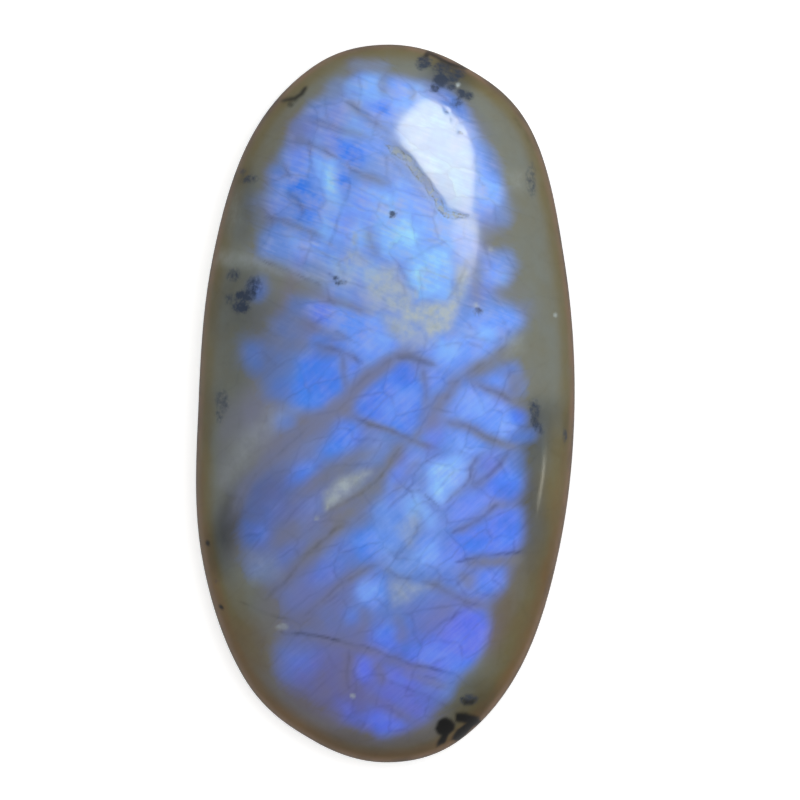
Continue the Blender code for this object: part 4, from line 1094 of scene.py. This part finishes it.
tree = polished_moonstone.node_tree
tree.nodes.clear()
places = add_node(tree, "ShaderNodeTexCoord").outputs["Object"]
mark = {}
for layer in formed.attributes:
    if layer.domain == "POINT" and layer.data_type == "FLOAT":
        mark[layer.name] = add_node(tree, "ShaderNodeAttribute", attribute_name=layer.name).outputs["Fac"]


def linear(code):
    """An sRGB hex colour as the linear colour that a shader takes."""
    levels = [int(code[i:i + 2], 16) / 255 for i in (1, 3, 5)]
    return (*[c / 12.92 if c <= 0.04045 else ((c + 0.055) / 1.055) ** 2.4 for c in levels], 1.0)


def along_cleavage(turn, along, across):
    """Places measured along and across one end's cleavage, in a pattern's own sizes."""
    turned = add_node(tree, "ShaderNodeVectorRotate", {"Vector": places, "Angle": math.radians(-turn)},
                      rotation_type="Z_AXIS")
    return add_node(tree, "ShaderNodeVectorMath", operation="MULTIPLY", inputs={
        0: turned, 1: [1 / (size * MILLIMETRE) for size in (along, across, along)]})


def painted(colour, layers):
    """The colour, with each layer mixed or multiplied over it by its share."""
    for share, over, blend in layers:
        colours = [linear(c) if isinstance(c, str) else c for c in (colour, over)]
        colour = add_node(tree, "ShaderNodeMix", data_type="RGBA", blend_type=blend,
                          inputs={0: share, 6: colours[0], 7: colours[1]}).outputs[2]
    return colour


noises = {}
for seed, (name, size, detail) in enumerate((
    # name, size in millimetres, detail
    ("mottle", 1.1, 4.0), ("cloud", 3.5, 3.0), ("flake", 0.22, 3.0), ("drift", 1.0, 3.0),
    ("fleck", 0.42, 3.0),
)):
    noises[name] = add_node(tree, "ShaderNodeTexNoise", noise_dimensions="4D", normalize=True, inputs={
        "Vector": places, "W": seed * 10.0, "Scale": 1 / (size * MILLIMETRE), "Detail": detail,
        "Roughness": 0.55,
    }).outputs["Fac"]

# The cleavage runs one way at the lower end and another at the upper. Fine streaks follow it, and
# so does a net of hair-thin cracks, whose cells differ a little in colour.
net_bend = add_node(tree, "ShaderNodeTexNoise", {"Vector": places, "Scale": 1 / (CELL_BEND * MILLIMETRE)})
bent = add_node(tree, "ShaderNodeVectorMath", operation="MULTIPLY_ADD", inputs={
    0: net_bend.outputs["Color"], 1: (CELL_WAVER,) * 3, 2: (-CELL_WAVER / 2,) * 3})
end_patterns = []
for turn in CLEAVAGE_TURNS:
    streak_places = along_cleavage(turn, STREAK_ALONG, STREAK_ACROSS)
    streak = add_node(tree, "ShaderNodeTexNoise", {"Vector": streak_places, "Scale": 1.0, "Detail": 3.0})
    net_places = add_node(tree, "ShaderNodeVectorMath", operation="ADD",
                          inputs={0: along_cleavage(turn, CELL_ALONG, CELL_ACROSS), 1: bent})
    cell = add_node(tree, "ShaderNodeTexVoronoi", {"Vector": net_places, "Scale": 1.0},
                    voronoi_dimensions="2D", feature="F1")
    cell_shade = add_node(tree, "ShaderNodeSeparateColor", {"Color": cell.outputs["Color"]})
    cell_edge = add_node(tree, "ShaderNodeTexVoronoi", {"Vector": net_places, "Scale": 1.0},
                         voronoi_dimensions="2D", feature="DISTANCE_TO_EDGE")
    end_patterns.append((streak.outputs["Fac"], cell_shade.outputs[0], cell_edge.outputs["Distance"]))
upper_end = add_node(tree, "ShaderNodeMapRange", {
    "Value": add_node(tree, "ShaderNodeSeparateXYZ", {0: places}).outputs["Y"],
    "From Min": UPPER_END_FROM * MILLIMETRE, "From Max": UPPER_END_FULL * MILLIMETRE})
for name, lower, upper in zip(("streak", "cell", "cell_edge"), *end_patterns):
    noises[name] = add_node(tree, "ShaderNodeMix", {0: upper_end, 2: lower, 3: upper}).outputs[0]

# Each mark is nudged by some noises, so that it isn't even: mark + (noise - 0.5) * amount
nudged = {}
for name, nudges in (
    ("sheen_tone", (("mottle", 0.50), ("streak", 0.24), ("fleck", 0.20), ("cell", 0.16))),
    ("sheen", (("cloud", 0.30), ("streak", 0.20), ("fleck", 0.24), ("cell", 0.14))),
    ("violet", (("drift", 0.80), ("fleck", 0.35), ("cell", 0.20))),
    ("warmth", (("cloud", 0.20), ("drift", 0.25))),
    ("darkness_and_shade", (("mottle", 0.18), ("fleck", 0.14))),
):
    nudged[name] = mark[name]
    for noise_name, amount in nudges:
        centred = add_node(tree, "ShaderNodeMath", {0: noises[noise_name], 1: 0.5}, operation="SUBTRACT")
        nudged[name] = add_node(tree, "ShaderNodeMath", operation="MULTIPLY_ADD", use_clamp=True,
                                inputs={0: centred, 1: amount, 2: nudged[name]})

ramps = {}
for name, source, stops in (
    ("body", "warmth", ((0.0, VIOLET_GREY), (0.45, GREY_GREEN), (0.78, OLIVE), (1.0, BROWN))),
    ("blue", "sheen_tone",
     ((0.0, DEEP_AZURE), (0.35, AZURE), (0.62, PERIWINKLE), (0.84, SKY), (1.0, PALE_SKY))),
    ("lavender", "sheen_tone",
     ((0.0, DEEP_INDIGO), (0.35, INDIGO), (0.62, VIOLET_BLUE), (0.84, LAVENDER), (1.0, PALE_LAVENDER))),
):
    ramp = add_node(tree, "ShaderNodeValToRGB", {"Fac": nudged[source]})
    stop_colours = ramp.color_ramp.elements
    stop_colours[0].color = linear(stops[0][1])
    stop_colours[1].color = linear(stops[-1][1])
    for tone_share, stop_colour in stops[1:-1]:
        stop_colours.new(tone_share).color = linear(stop_colour)
    ramps[name] = ramp.outputs["Color"]

clouded = add_node(tree, "ShaderNodeMath", operation="MULTIPLY_ADD",
                   inputs={0: noises["streak"], 1: STREAKS_IN_MILK, 2: noises["drift"]})

# A grain's edge is made ragged by the flakes, and only where there is a grain
ragged = add_node(tree, "ShaderNodeMath", operation="MULTIPLY_ADD",
                  inputs={0: noises["flake"], 1: GRAIN_RAGGED, 2: -GRAIN_SHRUNK})
near_grain = add_node(tree, "ShaderNodeMapRange", {"Value": mark["deep_grain"], "From Max": 0.25})
ragged = add_node(tree, "ShaderNodeMath", {0: ragged, 1: near_grain}, operation="MULTIPLY")
ragged = add_node(tree, "ShaderNodeMath", {0: mark["deep_grain"], 1: ragged}, operation="ADD")

# The open fracture's middle line wavers, and its two lips lie half its width to each side
off_middle = add_node(tree, "ShaderNodeMath", operation="MULTIPLY_ADD",
                      inputs={0: mark["fracture_across"], 1: 2 * FRACTURE_REACH, 2: -FRACTURE_REACH})
waver = add_node(tree, "ShaderNodeMath", operation="MULTIPLY_ADD",
                 inputs={0: noises["fleck"], 1: LIP_WAVER, 2: -LIP_WAVER / 2})
off_middle = add_node(tree, "ShaderNodeMath", {0: off_middle, 1: waver}, operation="ADD")
off_middle = add_node(tree, "ShaderNodeMath", {0: off_middle}, operation="ABSOLUTE")
past_lip = add_node(tree, "ShaderNodeMath", {0: off_middle, 1: mark["fracture_width"]}, operation="SUBTRACT")
off_lip = add_node(tree, "ShaderNodeMath", {0: past_lip}, operation="ABSOLUTE")

# How strongly each thing shows. As its source goes from the first level to the second, its share
# goes from the first share to the second.
shown = {}
for name, source, levels, shares in (
    ("broken_veil", noises["mottle"], (0.30, 0.60), (0.55, 1.00)),
    ("grey_veil", nudged["warmth"], (0.00, 0.60), (0.00, 1.00)),
    ("broken_line", noises["drift"], (0.40, 0.60), (0.25, 0.85)),
    ("milk", clouded, (0.70, 1.00), (0.00, 0.55)),
    ("milky_end", upper_end, (0.00, 1.00), (0.25, 1.00)),
    ("crack", noises["cell_edge"], (CRACK_WIDTH, 0.00), (0.00, 0.28)),
    ("cracked_sheen", mark["sheen"], (0.00, 0.60), (0.35, 1.00)),
    ("grain", ragged, (0.02, 0.72), (0.00, 0.88)),
    ("crumbs", noises["flake"], (0.43, 0.57), (0.10, 1.00)),
    ("within_lips", past_lip, (LIP_HALF_WIDTH, -LIP_HALF_WIDTH), (0.00, 0.75)),
    ("lip", off_lip, (LIP_HALF_WIDTH, 0.00), (0.00, 0.78)),
    ("chipped_lip", noises["flake"], (0.44, 0.56), (0.25, 1.00)),
    ("filmy_feather", noises["fleck"], (0.34, 0.60), (0.55, 1.00)),
    ("olive_feather", noises["mottle"], (0.48, 0.62), (0.00, 0.50)),
    ("olive_gloom", nudged["warmth"], (0.50, 0.80), (0.00, 1.00)),
    ("dark_girdle", noises["cloud"], (0.50, 0.70), (0.00, 0.80)),
    ("stained_girdle", noises["mottle"], (0.38, 0.60), (0.55, 1.00)),
    ("blue_back", noises["cloud"], (0.45, 0.65), (0.00, 0.60)),
    ("olive_back", noises["mottle"], (0.50, 0.68), (0.00, 0.55)),
):
    shown[name] = add_node(tree, "ShaderNodeMapRange", {
        "Value": source, "From Min": levels[0], "From Max": levels[1],
        "To Min": shares[0], "To Max": shares[1]})
for name, factors in (
    ("mauve_ground", (mark["violet"], MAUVE_GROUND)),
    ("sheen_here", (nudged["sheen"], mark["sheen"])),
    ("milk_here", (shown["milk"], shown["milky_end"], mark["sheen"])),
    ("mauve_veil", (mark["violet"], MAUVE_VEIL)),
    ("veil_here", (mark["veil"], shown["broken_veil"])),
    ("crack_here", (shown["crack"], shown["broken_line"], shown["cracked_sheen"])),
    ("feather_here", (mark["feather"], shown["filmy_feather"])),
    ("hairline_here", (mark["hairline"], shown["broken_line"])),
    ("crumbs_here", (shown["within_lips"], shown["crumbs"], mark["open_fracture"])),
    ("lip_here", (shown["lip"], mark["open_fracture"], shown["chipped_lip"])),
    ("girdle_here", (mark["girdle_brown_and_reflection"], shown["stained_girdle"])),
    ("back_crack", (shown["crack"], BACK_CRACKS)),
    ("dull_fracture", (mark["open_fracture"], OPEN_DULLNESS)),
):
    shown[name] = factors[0]
    for factor in factors[1:]:
        shown[name] = add_node(tree, "ShaderNodeMath", {0: shown[name], 1: factor}, operation="MULTIPLY")
sheen_share = add_node(tree, "ShaderNodeMath", {0: shown["sheen_here"], 1: SHEEN_SPREAD}, operation="POWER")
sheen_share = add_node(tree, "ShaderNodeMath", {0: sheen_share, 1: SHEEN_FULLNESS}, operation="MULTIPLY",
                       use_clamp=True)

# The colours that vary, and then the stone's own colour with everything over it in turn
# The darkening, slate where cool and olive where warm: partly the stone's own dark patches, partly painted
# shade
darkness_and_shade_colour = painted(SLATE_DARKNESS_AND_SHADE, ((shown["olive_gloom"], OLIVE_DARKNESS_AND_SHADE, "MIX"),))
sheen_colour = painted(ramps["blue"], ((nudged["violet"], ramps["lavender"], "MIX"),))
veil_colour = painted(VEIL_VIOLET, (
    (shown["grey_veil"], VEIL_GREY, "MIX"), (shown["mauve_veil"], MAUVE, "MIX")))
feather_colour = painted(FEATHER_CREAM, ((shown["olive_feather"], FEATHER_OLIVE, "MIX"),))
# The girdle's colour, near black in patches: partly a painted reflection of dark surroundings
girdle_colour = painted(GIRDLE_BROWN, ((shown["dark_girdle"], GIRDLE_DARK_REFLECTION, "MIX"),))
back_colour = painted(BACK_GREY, (
    (shown["blue_back"], BACK_BLUE, "MIX"), (shown["olive_back"], OLIVE, "MIX"),
    (shown["back_crack"], HAIRLINE_SHADE, "MULTIPLY")))
stone_colour = painted(ramps["body"], (
    (shown["mauve_ground"], MAUVE, "MIX"),
    (nudged["darkness_and_shade"], darkness_and_shade_colour, "MIX"),
    (sheen_share, sheen_colour, "MIX"),
    (shown["milk_here"], MILKY_LILAC, "MIX"),
    (shown["veil_here"], veil_colour, "MIX"),
    (shown["crack_here"], HAIRLINE_SHADE, "MULTIPLY"),
    (shown["feather_here"], feather_colour, "MIX"),
    (shown["hairline_here"], HAIRLINE_SHADE, "MULTIPLY"),
    (shown["grain"], GRAIN_NAVY, "MIX"),
    (shown["crumbs_here"], OPEN_CRUMBS, "MIX"),
    (shown["lip_here"], LIP_SHADE, "MIX"),
    (shown["girdle_here"], girdle_colour, "MIX"),
    (mark["black_grain"], GRAIN_BLACK, "MIX"),
    (mark["back"], back_colour, "MIX"),
))

# The polish is gone in the open fracture and was never given to the back
dull = add_node(tree, "ShaderNodeMath", {0: shown["dull_fracture"], 1: mark["back"]}, operation="MAXIMUM")
coat = add_node(tree, "ShaderNodeMapRange", {"Value": dull, "To Min": 1.0, "To Max": 0.1})
surface = add_node(tree, "ShaderNodeBsdfPrincipled", {
    "Base Color": stone_colour, "Roughness": 0.38, "IOR": FELDSPAR_IOR, "Specular IOR Level": 0.3,
    "Coat Weight": coat, "Coat Roughness": 0.12, "Coat IOR": FELDSPAR_IOR,
    "Subsurface Weight": 0.12, "Subsurface Radius": (1.0, 0.8, 0.7), "Subsurface Scale": 0.6 * MILLIMETRE,
})
add_node(tree, "ShaderNodeOutputMaterial", {"Surface": surface})

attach(stone, "root")
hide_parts("moonstone")


# The floor: a plain white board, which the stone lies on with its back. It lies a hair under the
# back, so that the two faces don't share a plane.
FLOOR_HALF = 1.5
BOARD_LEVEL = -0.02 * MILLIMETRE
BOARD_GLOW = 0.35
BOARD_WHITE = "#FFFFFF"
board = bpy.data.meshes.new("white_board")
board.from_pydata(
    [(x * FLOOR_HALF, y * FLOOR_HALF, BOARD_LEVEL) for x, y in ((-1, -1), (1, -1), (1, 1), (-1, 1))],
    [], [(0, 1, 2, 3)])
white_board = bpy.data.objects.new("white_board", board)
bpy.context.scene.collection.objects.link(white_board)
white_paint = bpy.data.materials.new("matt_white_board")
white_paint.use_nodes = True
white_paint.node_tree.nodes.clear()
matt_white = add_node(white_paint.node_tree, "ShaderNodeBsdfPrincipled", {
    "Base Color": linear(BOARD_WHITE), "Roughness": 0.9,
    "Emission Color": linear(BOARD_WHITE), "Emission Strength": BOARD_GLOW,
})
add_node(white_paint.node_tree, "ShaderNodeOutputMaterial", {"Surface": matt_white})
board.materials.append(white_paint)
white_board.visible_glossy = False


# The light. Window panes high at the upper right make the bright reflection and its fainter tail,
# a strip at the right makes the thin streak, and soft light from all round fills the rest.
CARD_AWAY = 0.6
ABOVE_CROWN = 0.02
WINDOW_WHITE = "#FAF6E6"
SKY_TILT = (math.radians(-16), math.radians(20), 0.0)
SKY_SPREAD = math.radians(120)
SKY_STRENGTH = 3.15
ROOM_WHITE = "#FFFFFF"
ROOM_GLOW = 0.15
WINDOW_PANES = (
    # name, corners of its reflection on the crown, each with the radiance there
    ("window", (
        (0.50, 13.6, 8.4), (0.75, 14.2, 10.2), (1.3, 14.8, 9.8), (2.0, 15.2, 8.8), (2.6, 15.0, 8.8),
        (3.3, 14.5, 8.8), (3.9, 13.7, 8.8), (4.25, 12.9, 8.8), (4.4, 12.0, 8.4), (4.4, 11.0, 7.9),
        (4.35, 10.2, 7.0), (4.3, 9.4, 6.0), (3.7, 9.5, 6.5), (2.9, 9.9, 7.0), (2.3, 10.9, 8.8),
        (1.5, 12.0, 9.8), (0.8, 13.1, 9.3))),
    ("window_tail", (
        (3.3, 9.2, 5.0), (3.9, 9.35, 6.0), (4.55, 9.2, 6.5), (4.65, 8.4, 6.5), (4.6, 7.4, 6.0),
        (4.35, 6.6, 5.0), (3.9, 6.6, 4.5), (3.6, 7.4, 4.0), (3.3, 8.2, 3.5))),
    ("side_strip", (
        (7.85, -2.9, 4.0), (7.98, -2.9, 4.0), (7.85, -3.9, 5.5), (7.6, -5.3, 3.5), (7.48, -5.2, 3.5),
        (7.72, -3.9, 5.5))),
)


def reflected_way(x, y):
    """The way that the view's line leaves the polished crown, at a place in millimetres."""
    above = Vector((x * MILLIMETRE, y * MILLIMETRE, ABOVE_CROWN))
    place, normal, _, _ = polished_form.ray_cast(above, Vector((0, 0, -1)))
    sight = (place - viewpoint.location).normalized()
    return sight.reflect(normal)


def window_pane(name, corners):
    """A glowing card with the outline that shows as this reflection on the crown."""
    ways = [reflected_way(x, y) for x, y, _ in corners]
    middle = sum(ways, Vector()).normalized()
    places = [way * (CARD_AWAY / way.dot(middle)) for way in ways]
    places.append(sum(places, Vector()) / len(places))
    radiances = [radiance for _, _, radiance in corners]
    radiances.append(sum(radiances) / len(radiances))
    hub = len(corners)
    sheet = bpy.data.meshes.new(name)
    sheet.from_pydata(places, [], [(corner, (corner + 1) % hub, hub) for corner in range(hub)])
    sheet.attributes.new("radiance", "FLOAT", "POINT").data.foreach_set("value", radiances)
    card = bpy.data.objects.new(name, sheet)
    bpy.context.scene.collection.objects.link(card)
    glow = bpy.data.materials.new(name)
    glow.use_nodes = True
    glow.node_tree.nodes.clear()
    strength_here = add_node(glow.node_tree, "ShaderNodeAttribute", attribute_name="radiance")
    light = add_node(glow.node_tree, "ShaderNodeEmission", {
        "Color": linear(WINDOW_WHITE), "Strength": strength_here.outputs["Fac"]})
    add_node(glow.node_tree, "ShaderNodeOutputMaterial", {"Surface": light})
    sheet.materials.append(glow)
    card.visible_camera = False
    card.visible_diffuse = False


for pane in WINDOW_PANES:
    window_pane(*pane)

dome = bpy.data.lights.new("soft_sky", "SUN")
dome.energy = SKY_STRENGTH
dome.angle = SKY_SPREAD
sky_lamp = bpy.data.objects.new("soft_sky", dome)
sky_lamp.visible_glossy = False
sky_lamp.rotation_euler = SKY_TILT
bpy.context.scene.collection.objects.link(sky_lamp)

room = bpy.data.worlds.new("dim_room")
room.use_nodes = True
room_light = room.node_tree.nodes["Background"]
room_light.inputs["Color"].default_value = linear(ROOM_WHITE)
room_light.inputs["Strength"].default_value = ROOM_GLOW
bpy.context.scene.world = room
